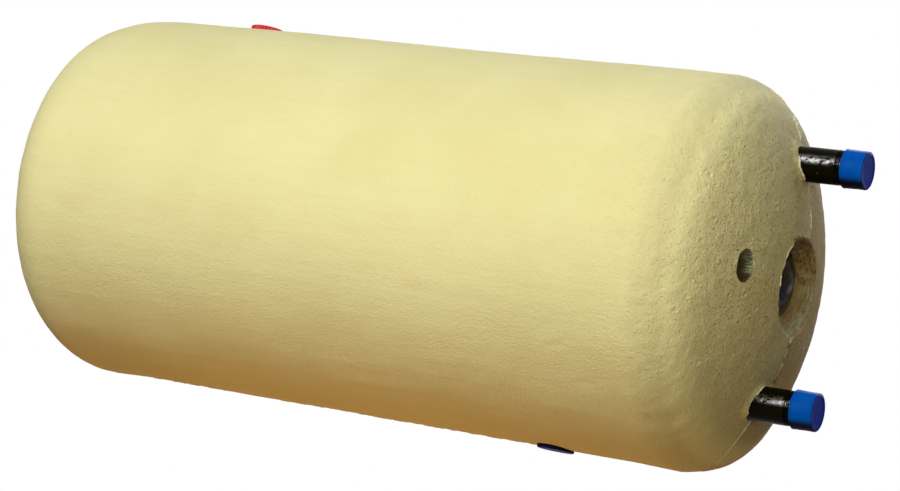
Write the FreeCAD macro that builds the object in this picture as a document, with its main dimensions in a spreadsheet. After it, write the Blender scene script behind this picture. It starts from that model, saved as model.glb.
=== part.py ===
import FreeCAD, Part
import os
import re
import Sketcher

# Indirect water heater: a lying tank inside a heating jacket, lagged with two moulded foam half shells.
# The origin is on the tank's axis at mid-length. +X runs towards the end with the water pipes and +Z is up.
# The pipes, the heating ports and the seam of the foam lie in, or close to, the X-Z plane.

# Driving dimensions in millimetres
SIZES = [
    # Pressure tank
    ("tank_radius", 178.0),
    ("tank_sheet", 2.5),
    ("tank_straight", 790.0),
    ("head_skirt", 15.0),
    ("head_knuckle", 36.0),
    ("head_crown", 300.0),
    # Heating jacket round the tank
    ("jacket_space", 15.0),
    ("jacket_sheet", 2.0),
    ("jacket_length", 660.0),
    ("ring_sheet", 2.5),
    # Moulded foam lagging
    ("foam_wall", 45.0),
    ("foam_over_head", 45.6),
    ("foam_knuckle", 64.0),
    ("foam_crown", 400.0),
    ("seam_shift", 15.0),
    # Play left between curved faces, and under a cap's end
    ("fit_gap", 0.3),
    # Water pipes, and the heating ports that are cut from the same pipe
    ("pipe_radius", 21.2),
    ("pipe_wall", 4.0),
    ("pipe_below_barrel", 32.3),
    ("pipe_inside_tank", 20.0),
    ("hot_standout", 56.0),
    ("cold_standout", 50.0),
    ("pipe_inside_jacket", 3.0),
    ("supply_place", -283.0),
    ("return_place", 260.0),
    ("thread_radius", 20.955),
    ("pipe_thread_length", 34.0),
    ("port_thread_length", 24.0),
    ("thread_pitch", 2.309),
    ("thread_depth", 1.4),
    ("thread_crest", 0.5),
    # Push-on protective caps
    ("cap_length", 28.0),
    ("cap_wall", 2.0),
    ("cap_end", 2.0),
    ("cap_play", 0.4),
    ("cap_rounding", 0.8),
    ("supply_cap_proud", 9.4),
    ("return_cap_proud", 2.0),
    ("cap_pocket_play", 0.6),
    # Tubes inside the tank
    ("tube_radius", 16.85),
    ("tube_wall", 3.2),
    ("tube_overlap", 20.0),
    ("hot_tube_reach", 120.0),
    ("cold_tube_reach", 560.0),
    ("spray_hole_radius", 4.0),
    ("spray_hole_spacing", 40.0),
    ("spray_hole_margin", 60.0),
    ("end_disc_sheet", 3.0),
    # Sensor pocket and its socket
    ("sensor_below_barrel", 47.0),
    ("sensor_drop", 4.0),
    ("sensor_hole_radius", 18.0),
    ("sensor_socket_wall", 5.2),
    ("sensor_socket_inside", 8.0),
    ("sensor_socket_proud", 22.0),
    ("sensor_bore_radius", 7.0),
    ("sensor_pocket_wall", 1.0),
    ("sensor_pocket_length", 300.0),
    ("sensor_flange_flats", 22.0),
    ("sensor_flange_sheet", 6.0),
    # Anode, its plug, and the hollow in the foam that leads to it
    ("recess_mouth", 63.0),
    ("recess_throat", 40.0),
    ("recess_depth", 25.0),
    ("anode_socket_radius", 30.0),
    ("anode_socket_inside", 10.0),
    ("anode_socket_proud", 16.0),
    ("anode_shank_radius", 16.6),
    ("anode_shank_length", 28.0),
    ("gasket_sheet", 2.0),
    ("gasket_rim", 7.0),
    ("plug_flats", 50.0),
    ("plug_sheet", 6.0),
    ("plug_dome_radius", 21.0),
    ("plug_dome_height", 10.0),
    ("core_radius", 4.0),
    ("core_in_plug", 14.0),
    ("core_past_rod", 8.0),
    ("rod_radius", 13.0),
    ("rod_length", 420.0),
    ("rod_below_plug", 12.0),
]

# Sizes that follow from the driving ones
FOLLOWING = [
    ("tank_half", "tank_straight / 2"),
    ("head_end", "tank_half + head_skirt"),
    ("head_reach", "sqrt((head_crown - head_knuckle)^2 - (tank_radius - head_knuckle)^2)"),
    ("head_sine", "(tank_radius - head_knuckle) / (head_crown - head_knuckle)"),
    ("head_cosine", "head_reach / (head_crown - head_knuckle)"),
    ("head_pole", "head_end + head_crown - head_reach"),
    ("pipe_height", "tank_radius - pipe_below_barrel"),
    ("sensor_offset", "tank_radius - sensor_below_barrel"),
    ("jacket_bore", "tank_radius + jacket_space"),
    ("jacket_radius", "jacket_bore + jacket_sheet"),
    ("jacket_half", "jacket_length / 2"),
    ("foam_radius", "jacket_radius + foam_wall"),
    ("foam_reach", "sqrt((foam_crown - foam_knuckle)^2 - (foam_radius - foam_knuckle)^2)"),
    ("foam_sine", "(foam_radius - foam_knuckle) / (foam_crown - foam_knuckle)"),
    ("foam_cosine", "foam_reach / (foam_crown - foam_knuckle)"),
    ("foam_pole", "head_pole + foam_over_head"),
    ("foam_end", "foam_pole - foam_crown + foam_reach"),
    ("pipe_root", "head_end - head_reach + sqrt(head_crown^2 - pipe_height^2) - pipe_inside_tank"),
    ("hot_end", "foam_pole + hot_standout - cap_end - fit_gap"),
    ("cold_end", "foam_pole + cold_standout - cap_end - fit_gap"),
    ("port_root", "jacket_bore - pipe_inside_jacket"),
    ("supply_end", "foam_radius + supply_cap_proud - cap_end - fit_gap"),
    ("return_end", "foam_radius + return_cap_proud - cap_end - fit_gap"),
    ("pipe_thread_turns", "floor(pipe_thread_length / thread_pitch) - 1"),
    ("port_thread_turns", "floor(port_thread_length / thread_pitch) - 1"),
    ("cap_bore", "pipe_radius + cap_play"),
    ("cap_radius", "cap_bore + cap_wall"),
    ("cap_cover", "cap_length - cap_end - fit_gap"),
    ("tube_root", "pipe_root + tube_overlap"),
    ("spray_holes", "floor((cold_tube_reach - spray_hole_margin - tube_overlap) / spray_hole_spacing)"),
    ("sensor_seat", "head_end - head_reach + sqrt(head_crown^2 - sensor_offset^2 - sensor_drop^2)"),
    ("sensor_tube_radius", "sensor_bore_radius + sensor_pocket_wall"),
    ("sensor_socket_bore", "sensor_tube_radius + fit_gap"),
    ("sensor_socket_radius", "sensor_socket_bore + sensor_socket_wall"),
    ("sensor_face", "sensor_seat + sensor_socket_proud"),
    ("anode_bore", "anode_shank_radius + fit_gap"),
    ("anode_face", "head_pole + anode_socket_proud"),
    ("plug_face", "anode_face + gasket_sheet"),
    ("rod_top", "plug_face - anode_shank_length - rod_below_plug"),
]

doc = FreeCAD.newDocument("indirect_water_heater")
sheet = doc.addObject("Spreadsheet::Sheet", "Sizes")
WORDS = [word for word, _ in SIZES + FOLLOWING]
TURNS = {
    "+X": FreeCAD.Rotation(FreeCAD.Vector(0, 1, 0), 90),
    "+Z": FreeCAD.Rotation(),
    "-Z": FreeCAD.Rotation(FreeCAD.Vector(1, 0, 0), 180),
    "-X": FreeCAD.Rotation(FreeCAD.Vector(0, 0, 1), 180),
}
subparts = []


def fill_sheet():
    """Writes every size into the sheet, one row each, with its name as the alias."""
    rows = [(word, str(number)) for word, number in SIZES] + [(word, "=" + rule) for word, rule in FOLLOWING]
    for row, (word, text) in enumerate(rows, start=1):
        sheet.set(f"A{row}", word)
        sheet.set(f"B{row}", text)
        sheet.setAlias(f"B{row}", word)
        doc.recompute()


def rule(text):
    """The expression text with each size's name made to point at its cell."""
    return re.sub(r"[a-z_]+", lambda found: "Sizes." + found[0] if found[0] in WORDS else found[0], text)


def number(text):
    """The value that an expression has now."""
    return float(sheet.evalExpression(rule(text)))


def body(label):
    """A new body, which becomes one sub-part."""
    made = doc.addObject("PartDesign::Body", label)
    made.Label = label
    subparts.append(made)
    return made


def place(made, facing, along_x="0", along_y="0", along_z="0"):
    """Turns a body that is drawn along its own +Z to face a way, and moves its foot to a point."""
    made.Placement = FreeCAD.Placement(FreeCAD.Vector(), TURNS[facing])
    for letter, text in zip("xyz", (along_x, along_y, along_z)):
        if text != "0":
            made.setExpression(f"Placement.Base.{letter}", rule(text))


def drawing(made, plane, name, lift="0"):
    """An empty sketch on one of the body's own origin planes, lifted along the plane's normal."""
    drawn = made.newObject("Sketcher::SketchObject", f"{made.Label}_{name}")
    support = [item for item in made.Origin.OriginFeatures if item.Role == plane][0]
    drawn.AttachmentSupport = (support, "")
    drawn.MapMode = "FlatFace"
    if lift != "0":
        drawn.setExpression("AttachmentOffset.Base.z", rule(lift))
    return drawn


def edge(start, end, radius):
    """A line, or an arc of under a half circle: left for a positive radius, right for a negative one."""
    if not radius:
        return Part.LineSegment(start, end)
    chord = end - start
    left = FreeCAD.Vector(-chord.y, chord.x, 0).normalize()
    rise = abs(radius) - (radius * radius - chord.Length ** 2 / 4) ** 0.5
    middle = (start + end) / 2 - left * rise * (1 if radius > 0 else -1)
    return Part.Arc(start, middle, end)


def hold(drawn, item, which, across, up):
    """Binds a point of a sketch to two expressions, or to an axis where one of them is zero."""
    for kind, text, axis in (("DistanceX", across, -2), ("DistanceY", up, -1)):
        if text == "0":
            drawn.addConstraint(Sketcher.Constraint("PointOnObject", item, which, axis))
        else:
            index = drawn.addConstraint(Sketcher.Constraint(kind, item, which, number(text)))
            drawn.setExpression(f"Constraints[{index}]", rule(text))


def outline(drawn, corners):
    """Draws a closed outline of (across, up) corners. A third text is the radius of an arc to the next."""
    points = [FreeCAD.Vector(number(corner[0]), number(corner[1]), 0) for corner in corners]
    starts, ends = [], []
    for index, corner in enumerate(corners):
        start, end = points[index], points[(index + 1) % len(points)]
        radius = number(corner[2]) if len(corner) > 2 else 0
        item = drawn.addGeometry(edge(start, end, radius), False)
        forward = (drawn.getPoint(item, 1) - start).Length < (drawn.getPoint(item, 2) - start).Length
        starts.append((item, 1 if forward else 2))
        ends.append((item, 2 if forward else 1))
    for index, corner in enumerate(corners):
        drawn.addConstraint(Sketcher.Constraint("Coincident", *ends[index - 1], *starts[index]))
        hold(drawn, *starts[index], corner[0], corner[1])
        if len(corner) > 2:
            radius = abs(number(corner[2]))
            bend = drawn.addConstraint(Sketcher.Constraint("Radius", starts[index][0], radius))
            drawn.setExpression(f"Constraints[{bend}]", rule(f"abs({corner[2]})"))
    return drawn


def ring(drawn, across, up, radius):
    """Draws one circle."""
    centre = FreeCAD.Vector(number(across), number(up), 0)
    item = drawn.addGeometry(Part.Circle(centre, FreeCAD.Vector(0, 0, 1), number(radius)), False)
    hold(drawn, item, 3, across, up)
    bend = drawn.addConstraint(Sketcher.Constraint("Radius", item, number(radius)))
    drawn.setExpression(f"Constraints[{bend}]", rule(radius))
    return drawn


def hexagon(drawn, flats):
    """Draws a six-sided outline about the origin with the given distance across its flats."""
    reach, half = f"{flats} / sqrt(3)", f"{flats} / 2"
    short = f"{flats} / sqrt(3) / 2"
    return outline(drawn, [
        (reach, "0"), (short, half), (f"-{short}", half), (f"-{reach}", "0"), (f"-{short}", f"-{half}"),
        (short, f"-{half}"),
    ])


def turned(made, kind, drawn, axis):
    """Revolves a drawing about an axis of its own, adding or cutting."""
    feature = made.newObject(f"PartDesign::{kind}", f"{made.Label}_{kind.lower()}")
    feature.Profile = drawn
    feature.ReferenceAxis = (drawn, [axis])
    feature.Angle = 360
    doc.recompute()
    return feature


def cut_through(made, drawn, along_normal):
    """Cuts a drawing through everything on one side of its plane."""
    feature = made.newObject("PartDesign::Pocket", f"{drawn.Label}_cut")
    feature.Profile = drawn
    feature.Type = "ThroughAll"
    feature.Reversed = along_normal
    doc.recompute()
    return feature


def pad(made, drawn, length):
    """Raises a drawing along its plane's normal."""
    feature = made.newObject("PartDesign::Pad", f"{drawn.Label}_pad")
    feature.Profile = drawn
    feature.setExpression("Length", rule(length))
    doc.recompute()
    return feature


def repeat(made, feature, direction, spacing, copies):
    """Repeats a feature in a row along one of the body's origin axes."""
    row = made.newObject("PartDesign::LinearPattern", f"{feature.Label}_row")
    row.Originals = [feature]
    row.Direction = ([item for item in made.Origin.OriginFeatures if item.Role == direction][0], [""])
    row.setExpression("Length", rule(f"{spacing} * ({copies} - 1)"))
    row.setExpression("Occurrences", rule(copies))
    made.Tip = row
    doc.recompute()
    return row


def half_dish(kind, offset):
    """The pole, the bend point and both radii of a dished end's curve, grown outward by an offset."""
    centre, grown = f"{kind}_end - {kind}_reach", f"({kind}_crown + {offset})"
    pole = (f"{centre} + {grown}", "0")
    bend = (f"{centre} + {grown} * {kind}_cosine", f"{grown} * {kind}_sine")
    return pole, bend, grown, f"({kind}_knuckle + {offset})"


def head_curve(offset):
    """The curve of the steel head, grown outward by an offset."""
    return half_dish("head", offset)


def foam_curve():
    """The curve of the foam's outer skin over a head."""
    return half_dish("foam", "0")


def mirrored(point):
    """The same point at the tank's other end."""
    return (f"-({point[0]})", point[1])


def insulation_half(label, keeps_front):
    """One foam half shell round the tank and its jacket, parted at the seam, with every hole."""
    made = body(label)
    pole, bend, crown, knuckle = foam_curve()
    inner_pole, inner_bend, inner_crown, inner_knuckle = head_curve("fit_gap")
    tank, jacket, step = "tank_radius + fit_gap", "jacket_radius + fit_gap", "jacket_half + fit_gap"
    shell = outline(drawing(made, "XZ_Plane", "section"), [
        (*mirrored(pole), f"-{crown}"), (*mirrored(bend), f"-{knuckle}"), ("-foam_end", "foam_radius"),
        ("foam_end", "foam_radius", f"-{knuckle}"), (*bend, f"-{crown}"), pole,
        (*inner_pole, inner_crown), (*inner_bend, inner_knuckle), ("head_end", tank),
        (step, tank), (step, jacket), (f"-({step})", jacket), (f"-({step})", tank),
        ("-head_end", tank, inner_knuckle), (*mirrored(inner_bend), inner_crown), mirrored(inner_pole),
    ])
    turned(made, "Revolution", shell, "H_Axis")
    reach, height = "2 * foam_pole", "2 * foam_radius"
    half = outline(drawing(made, "XZ_Plane", "seam", "-seam_shift"), [
        (f"-{reach}", f"-{height}"), (reach, f"-{height}"), (reach, height), (f"-{reach}", height),
    ])
    cut_through(made, half, not keeps_front)
    flared = "recess_mouth + (foam_pole / recess_depth) * (recess_mouth - recess_throat)"
    recess = outline(drawing(made, "XZ_Plane", "recess"), [
        ("0", "0"), (reach, "0"), (reach, flared),
        ("foam_pole - recess_depth", "recess_throat"), ("0", "recess_throat"),
    ])
    turned(made, "Groove", recess, "H_Axis")
    for name, up in (("hot_pipe", "pipe_height"), ("cold_pipe", "-pipe_height")):
        cut_through(made, ring(drawing(made, "YZ_Plane", name), "0", up, "pipe_radius + fit_gap"), True)
    if keeps_front:
        well = drawing(made, "YZ_Plane", "sensor")
        cut_through(made, ring(well, "-sensor_offset", "-sensor_drop", "sensor_hole_radius"), True)
    for name, side, outward in (("supply", "", True), ("return", "-", False)):
        across, port = f"{name}_place", drawing(made, "XY_Plane", name)
        cut_through(made, ring(port, across, "0", "pipe_radius + fit_gap"), outward)
        pocket = drawing(made, "XY_Plane", f"{name}_cap", f"{side}({name}_end - cap_cover - fit_gap)")
        cut_through(made, ring(pocket, across, "0", "cap_radius + cap_pocket_play"), outward)


def tank_shell():
    """The rolled barrel of the pressure tank."""
    made = body("tank_shell")
    bore, rim = "tank_radius - tank_sheet", "tank_radius"
    wall = [("-tank_half", bore), ("tank_half", bore), ("tank_half", rim), ("-tank_half", rim)]
    turned(made, "Revolution", outline(drawing(made, "XZ_Plane", "section"), wall), "H_Axis")


def tank_head(label, facing, has_holes):
    """A dished end of the tank, with the holes for the pipes, the anode and the sensor where it has them."""
    made = body(label)
    pole, bend, crown, knuckle = head_curve("0")
    inner_pole, inner_bend, inner_crown, inner_knuckle = head_curve("-tank_sheet")
    bore, rim = "tank_radius - tank_sheet", "tank_radius"
    section = outline(drawing(made, "XZ_Plane", "section"), [
        (*pole, crown), (*bend, knuckle), ("head_end", rim), ("tank_half", rim), ("tank_half", bore),
        ("head_end", bore, f"-{inner_knuckle}"), (*inner_bend, f"-{inner_crown}"), inner_pole,
    ])
    turned(made, "Revolution", section, "H_Axis")
    holes = [
        ("hot_pipe", "0", "pipe_height", "pipe_radius"), ("cold_pipe", "0", "-pipe_height", "pipe_radius"),
        ("anode", "0", "0", "anode_socket_radius"),
        ("sensor", "-sensor_offset", "-sensor_drop", "sensor_socket_radius"),
    ]
    for name, across, up, radius in holes if has_holes else []:
        cut_through(made, ring(drawing(made, "YZ_Plane", name), across, up, f"{radius} + fit_gap"), True)
    if facing == "-X":
        place(made, facing)


def jacket_shell():
    """The outer wall of the heating jacket, with a hole for each heating port."""
    made = body("jacket_shell")
    wall = [
        ("-jacket_half", "jacket_bore"), ("jacket_half", "jacket_bore"),
        ("jacket_half", "jacket_radius"), ("-jacket_half", "jacket_radius"),
    ]
    turned(made, "Revolution", outline(drawing(made, "XZ_Plane", "section"), wall), "H_Axis")
    for name, outward in (("supply", True), ("return", False)):
        port = drawing(made, "XY_Plane", name)
        cut_through(made, ring(port, f"{name}_place", "0", "pipe_radius + fit_gap"), outward)


def jacket_ring(label, facing):
    """The ring that closes one end of the jacket against the tank."""
    made = body(label)
    low, high, back = "tank_radius + fit_gap", "jacket_bore - fit_gap", "jacket_half - ring_sheet"
    wall = [(back, low), ("jacket_half", low), ("jacket_half", high), (back, high)]
    turned(made, "Revolution", outline(drawing(made, "XZ_Plane", "section"), wall), "H_Axis")
    if facing == "-X":
        place(made, facing)


def pipe_stub(label, kind, root, end, facing, along_x, along_z):
    """A short pipe with an outside thread at its free end, drawn from its root along its own +Z."""
    made = body(label)
    length, bore = f"({end} - {root})", "pipe_radius - pipe_wall"
    shoulder, tip = f"{length} - {kind}_thread_length", f"{length} - thread_depth"
    section = outline(drawing(made, "XZ_Plane", "section"), [
        (bore, "0"), ("pipe_radius", "0"), ("pipe_radius", shoulder), ("thread_radius", shoulder),
        ("thread_radius", tip), ("thread_radius - thread_depth", length), (bore, length),
    ])
    turned(made, "Revolution", section, "V_Axis")
    low, wide = f"{shoulder} + thread_crest", "thread_pitch - thread_crest"
    notch = outline(drawing(made, "XZ_Plane", "notch"), [
        ("thread_radius", low), ("thread_radius - thread_depth", f"{low} + ({wide}) / 2"),
        ("thread_radius", f"{low} + {wide}"), ("thread_radius + thread_depth", f"{low} + {wide}"),
        ("thread_radius + thread_depth", low),
    ])
    repeat(made, turned(made, "Groove", notch, "V_Axis"), "Z_Axis", "thread_pitch", f"{kind}_thread_turns")
    place(made, facing, along_x, "0", along_z)


def cap(label, facing, along_x, along_z):
    """A push-on cap, drawn from its open rim along its own +Z, with a rounded outer edge."""
    made = body(label)
    shoulder, rim = "cap_length - cap_rounding", "cap_radius - cap_rounding"
    section = outline(drawing(made, "XZ_Plane", "section"), [
        ("cap_bore", "0"), ("cap_radius", "0"), ("cap_radius", shoulder, "cap_rounding"), (rim, "cap_length"),
        ("0", "cap_length"), ("0", "cap_length - cap_end"), ("cap_bore", "cap_length - cap_end"),
    ])
    turned(made, "Revolution", section, "V_Axis")
    place(made, facing, along_x, "0", along_z)


def hot_draw_off_tube():
    """The tube that takes water from just under the tank's crown, its mouth cut at 45 degrees to face up."""
    made = body("hot_draw_off_tube")
    bore = "tube_radius - tube_wall"
    wall = [(bore, "0"), ("tube_radius", "0"), ("tube_radius", "hot_tube_reach"), (bore, "hot_tube_reach")]
    turned(made, "Revolution", outline(drawing(made, "XZ_Plane", "section"), wall), "V_Axis")
    wedge = outline(drawing(made, "XZ_Plane", "mouth", "-2 * tube_radius"), [
        ("-tube_radius", "hot_tube_reach - 2 * tube_radius"), ("tube_radius", "hot_tube_reach"),
        ("tube_radius", "hot_tube_reach + tube_radius"), ("-tube_radius", "hot_tube_reach + tube_radius"),
    ])
    cut_through(made, wedge, True)
    made.Placement = FreeCAD.Placement(FreeCAD.Vector(), FreeCAD.Rotation(FreeCAD.Vector(0, 1, 0), -90))
    made.setExpression("Placement.Base.x", rule("tube_root"))
    made.setExpression("Placement.Base.z", rule("pipe_height"))


def cold_inlet_tube():
    """The closed tube that spreads cold water along the bottom of the tank through a row of holes."""
    made = body("cold_inlet_tube")
    bore = "tube_radius - tube_wall"
    wall = [(bore, "0"), ("tube_radius", "0"), ("tube_radius", "cold_tube_reach"), (bore, "cold_tube_reach")]
    turned(made, "Revolution", outline(drawing(made, "XZ_Plane", "section"), wall), "V_Axis")
    first = "tube_overlap + spray_hole_margin"
    hole = ring(drawing(made, "YZ_Plane", "hole"), "0", first, "spray_hole_radius")
    repeat(made, cut_through(made, hole, False), "Z_Axis", "spray_hole_spacing", "spray_holes")
    made.Placement = FreeCAD.Placement(FreeCAD.Vector(), FreeCAD.Rotation(FreeCAD.Vector(0, 1, 0), -90))
    made.setExpression("Placement.Base.x", rule("tube_root"))
    made.setExpression("Placement.Base.z", rule("-pipe_height"))


def cold_tube_end_disc():
    """The disc that closes the far end of the cold tube."""
    made = body("cold_tube_end_disc")
    pad(made, ring(drawing(made, "XY_Plane", "disc"), "0", "0", "tube_radius"), "end_disc_sheet")
    place(made, "+X", "tube_root - cold_tube_reach - end_disc_sheet", "0", "-pipe_height")


def sensor_socket():
    """The short socket on the tank's head that holds the sensor pocket."""
    made = body("sensor_socket")
    bore, rim = "sensor_socket_bore", "sensor_socket_radius"
    high = "sensor_socket_inside + sensor_socket_proud"
    wall = [(bore, "0"), (rim, "0"), (rim, high), (bore, high)]
    turned(made, "Revolution", outline(drawing(made, "XZ_Plane", "section"), wall), "V_Axis")
    place(made, "+X", "sensor_seat - sensor_socket_inside", "-sensor_offset", "-sensor_drop")


def sensor_pocket():
    """A closed tube that reaches into the water, with a six-sided flange on the socket and an open mouth."""
    made = body("sensor_pocket")
    pad(made, hexagon(drawing(made, "XY_Plane", "flange"), "sensor_flange_flats"), "sensor_flange_sheet")
    foot, floor = "-sensor_pocket_length", "sensor_pocket_wall - sensor_pocket_length"
    tube = outline(drawing(made, "XZ_Plane", "tube"), [
        ("0", foot), ("sensor_tube_radius", foot), ("sensor_tube_radius", "0"), ("0", "0"),
    ])
    turned(made, "Revolution", tube, "V_Axis")
    bore = outline(drawing(made, "XZ_Plane", "bore"), [
        ("0", floor), ("sensor_bore_radius", floor),
        ("sensor_bore_radius", "2 * sensor_flange_sheet"), ("0", "2 * sensor_flange_sheet"),
    ])
    turned(made, "Groove", bore, "V_Axis")
    place(made, "+X", "sensor_face", "-sensor_offset", "-sensor_drop")


def anode_socket():
    """The thick socket at the centre of the tank's head that the anode's plug screws into."""
    made = body("anode_socket")
    bore, rim, high = "anode_bore", "anode_socket_radius", "anode_socket_inside + anode_socket_proud"
    wall = [(bore, "0"), (rim, "0"), (rim, high), (bore, high)]
    turned(made, "Revolution", outline(drawing(made, "XZ_Plane", "section"), wall), "V_Axis")
    place(made, "+X", "head_pole - anode_socket_inside", "0", "0")


def anode_gasket():
    """The flat sealing ring between the socket and the plug."""
    made = body("anode_gasket")
    rim = "anode_bore + gasket_rim"
    wall = [("anode_bore", "0"), (rim, "0"), (rim, "gasket_sheet"), ("anode_bore", "gasket_sheet")]
    turned(made, "Revolution", outline(drawing(made, "XZ_Plane", "section"), wall), "V_Axis")
    place(made, "+X", "anode_face", "0", "0")


def anode_plug():
    """The domed six-sided plug that shows in the recess, with its shank and the hole for the anode's core."""
    made = body("anode_plug")
    pad(made, hexagon(drawing(made, "XY_Plane", "hexagon"), "plug_flats"), "plug_sheet")
    dome_bend = "(plug_dome_radius^2 + plug_dome_height^2) / (2 * plug_dome_height)"
    foot, shank, rim = "-anode_shank_length", "anode_shank_radius", "plug_dome_radius"
    dome = outline(drawing(made, "XZ_Plane", "dome"), [
        ("0", foot), (shank, foot), (shank, "0"), (rim, "0"), (rim, "plug_sheet", dome_bend),
        ("0", "plug_sheet + plug_dome_height"),
    ])
    turned(made, "Revolution", dome, "V_Axis")
    bore, low, high = "core_radius + fit_gap", f"{foot} - plug_sheet", f"core_in_plug {foot}"
    hole = outline(drawing(made, "XZ_Plane", "hole"), [("0", low), (bore, low), (bore, high), ("0", high)])
    turned(made, "Groove", hole, "V_Axis")
    place(made, "+X", "plug_face", "0", "0")


def anode_core():
    """The steel wire that carries the anode's metal, from inside the plug to just past the rod's end."""
    made = body("anode_core")
    pad(made, ring(drawing(made, "XY_Plane", "wire"), "0", "0", "core_radius"),
        "core_past_rod + rod_length + rod_below_plug + core_in_plug")
    place(made, "+X", "rod_top - rod_length - core_past_rod", "0", "0")


def anode_rod():
    """The sacrificial metal, cast round the core."""
    made = body("anode_rod")
    bore = "core_radius + fit_gap"
    wall = [(bore, "0"), ("rod_radius", "0"), ("rod_radius", "rod_length"), (bore, "rod_length")]
    turned(made, "Revolution", outline(drawing(made, "XZ_Plane", "section"), wall), "V_Axis")
    place(made, "+X", "rod_top - rod_length", "0", "0")


def build_all():
    """Every sub-part, from the tank outward."""
    tank_shell()
    tank_head("tank_head_connection_end", "+X", True)
    tank_head("tank_head_blind_end", "-X", False)
    jacket_shell()
    jacket_ring("jacket_ring_connection_end", "+X")
    jacket_ring("jacket_ring_blind_end", "-X")
    insulation_half("insulation_front_half", True)
    insulation_half("insulation_rear_half", False)
    pipe_stub("hot_water_stub", "pipe", "pipe_root", "hot_end", "+X", "pipe_root", "pipe_height")
    pipe_stub("cold_water_stub", "pipe", "pipe_root", "cold_end", "+X", "pipe_root", "-pipe_height")
    pipe_stub("heating_supply_stub", "port", "port_root", "supply_end", "+Z", "supply_place", "port_root")
    pipe_stub("heating_return_stub", "port", "port_root", "return_end", "-Z", "return_place", "-port_root")
    cap("hot_water_cap", "+X", "hot_end - cap_cover", "pipe_height")
    cap("cold_water_cap", "+X", "cold_end - cap_cover", "-pipe_height")
    cap("heating_supply_cap", "+Z", "supply_place", "supply_end - cap_cover")
    cap("heating_return_cap", "-Z", "return_place", "cap_cover - return_end")
    hot_draw_off_tube()
    cold_inlet_tube()
    cold_tube_end_disc()
    sensor_socket()
    sensor_pocket()
    anode_socket()
    anode_gasket()
    anode_plug()
    anode_core()
    anode_rod()


def check_all():
    """Stops unless every object is well, every cut took something and every sub-part is one sound solid."""
    for item in doc.Objects:
        if "Invalid" in item.State or "Error" in item.State:
            raise RuntimeError(f"{item.Label} failed: {item.State}")
        if item.TypeId in ("PartDesign::Pocket", "PartDesign::Groove"):
            if item.Shape.Volume > item.BaseFeature.Shape.Volume - 1:
                raise RuntimeError(f"{item.Label} cuts nothing")
    for made in subparts:
        if made.Shape.isNull() or not made.Shape.isValid() or len(made.Shape.Solids) != 1:
            raise RuntimeError(f"{made.Label} isn't one sound solid")


fill_sheet()
build_all()
doc.recompute()
check_all()
os.makedirs("parts", exist_ok=True)
for made in subparts:
    made.Shape.exportStep(f"parts/{made.Label}.step")
print(f"{len(subparts)} sub-parts written")
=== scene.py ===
import itertools
import math

import bmesh
import bpy
import numpy as np
from mathutils import Matrix, Vector


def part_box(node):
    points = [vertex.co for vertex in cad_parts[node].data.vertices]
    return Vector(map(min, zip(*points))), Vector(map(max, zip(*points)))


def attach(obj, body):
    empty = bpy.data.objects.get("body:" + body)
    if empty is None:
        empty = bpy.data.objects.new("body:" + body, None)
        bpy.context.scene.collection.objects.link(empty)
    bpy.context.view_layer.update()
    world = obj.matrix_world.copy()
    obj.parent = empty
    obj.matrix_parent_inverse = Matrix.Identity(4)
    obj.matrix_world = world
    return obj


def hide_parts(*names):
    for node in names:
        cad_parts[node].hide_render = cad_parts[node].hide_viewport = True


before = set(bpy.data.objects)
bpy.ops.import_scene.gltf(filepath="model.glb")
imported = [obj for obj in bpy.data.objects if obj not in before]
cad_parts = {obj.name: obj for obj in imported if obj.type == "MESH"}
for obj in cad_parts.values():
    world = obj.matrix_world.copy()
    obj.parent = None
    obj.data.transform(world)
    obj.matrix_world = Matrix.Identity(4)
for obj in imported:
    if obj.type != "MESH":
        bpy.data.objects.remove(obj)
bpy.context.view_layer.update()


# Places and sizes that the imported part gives

def middle_of(node):
    """The centre of a node's box."""
    low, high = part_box(node)
    return (low + high) / 2


def half_width(node, axis):
    """Half of a node's box along one axis."""
    low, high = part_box(node)
    return (high[axis] - low[axis]) / 2


front_low, front_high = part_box("insulation_front_half")
SEAM = front_high.y
RADIUS = front_high.z
POLE = -front_low.x
PIPE = middle_of("hot_water_stub")
PIPE_RADIUS = half_width("hot_water_stub", 1)
SENSOR = middle_of("sensor_socket")
TANK_RADIUS = half_width("tank_shell", 1)
JACKET_RADIUS = half_width("jacket_shell", 1)
JACKET_HALF = half_width("jacket_shell", 0)
HEAD_POLE = -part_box("tank_head_blind_end")[0].x
CAP_RADIUS = half_width("heating_supply_cap", 0)

# Guards a division by a length of nothing, and a rounding down
TINY = 1e-9

# Curves and clearances of the part that no box gives
CROWN = 0.400
KNUCKLE = 0.064
HEAD_CROWN = 0.300
HEAD_KNUCKLE = 0.036
FIT_GAP = 0.0003
POCKET_PLAY = 0.0006
RECESS_MOUTH = 0.0590
RECESS_THROAT = 0.0400
RECESS_DEPTH = 0.0250
SENSOR_MOUTH = (0.0140, 0.0197)
SENSOR_FOOT = (0.0166, 0.0175)
SENSOR_SHIFT = Vector((0, 0.0026, -0.0010))
PIPE_HOLE = PIPE_RADIUS + FIT_GAP
JACKET_HOLE = JACKET_RADIUS + FIT_GAP
CAP_POCKET = CAP_RADIUS + POCKET_PLAY
HEATING_CAPS = (("heating_supply_cap", 1), ("heating_return_cap", -1))


def arc(radius, off):
    """The height of a circle's arc over its centre, this far off the middle."""
    return np.sqrt(np.maximum(radius ** 2 - off ** 2, 0))


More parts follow.
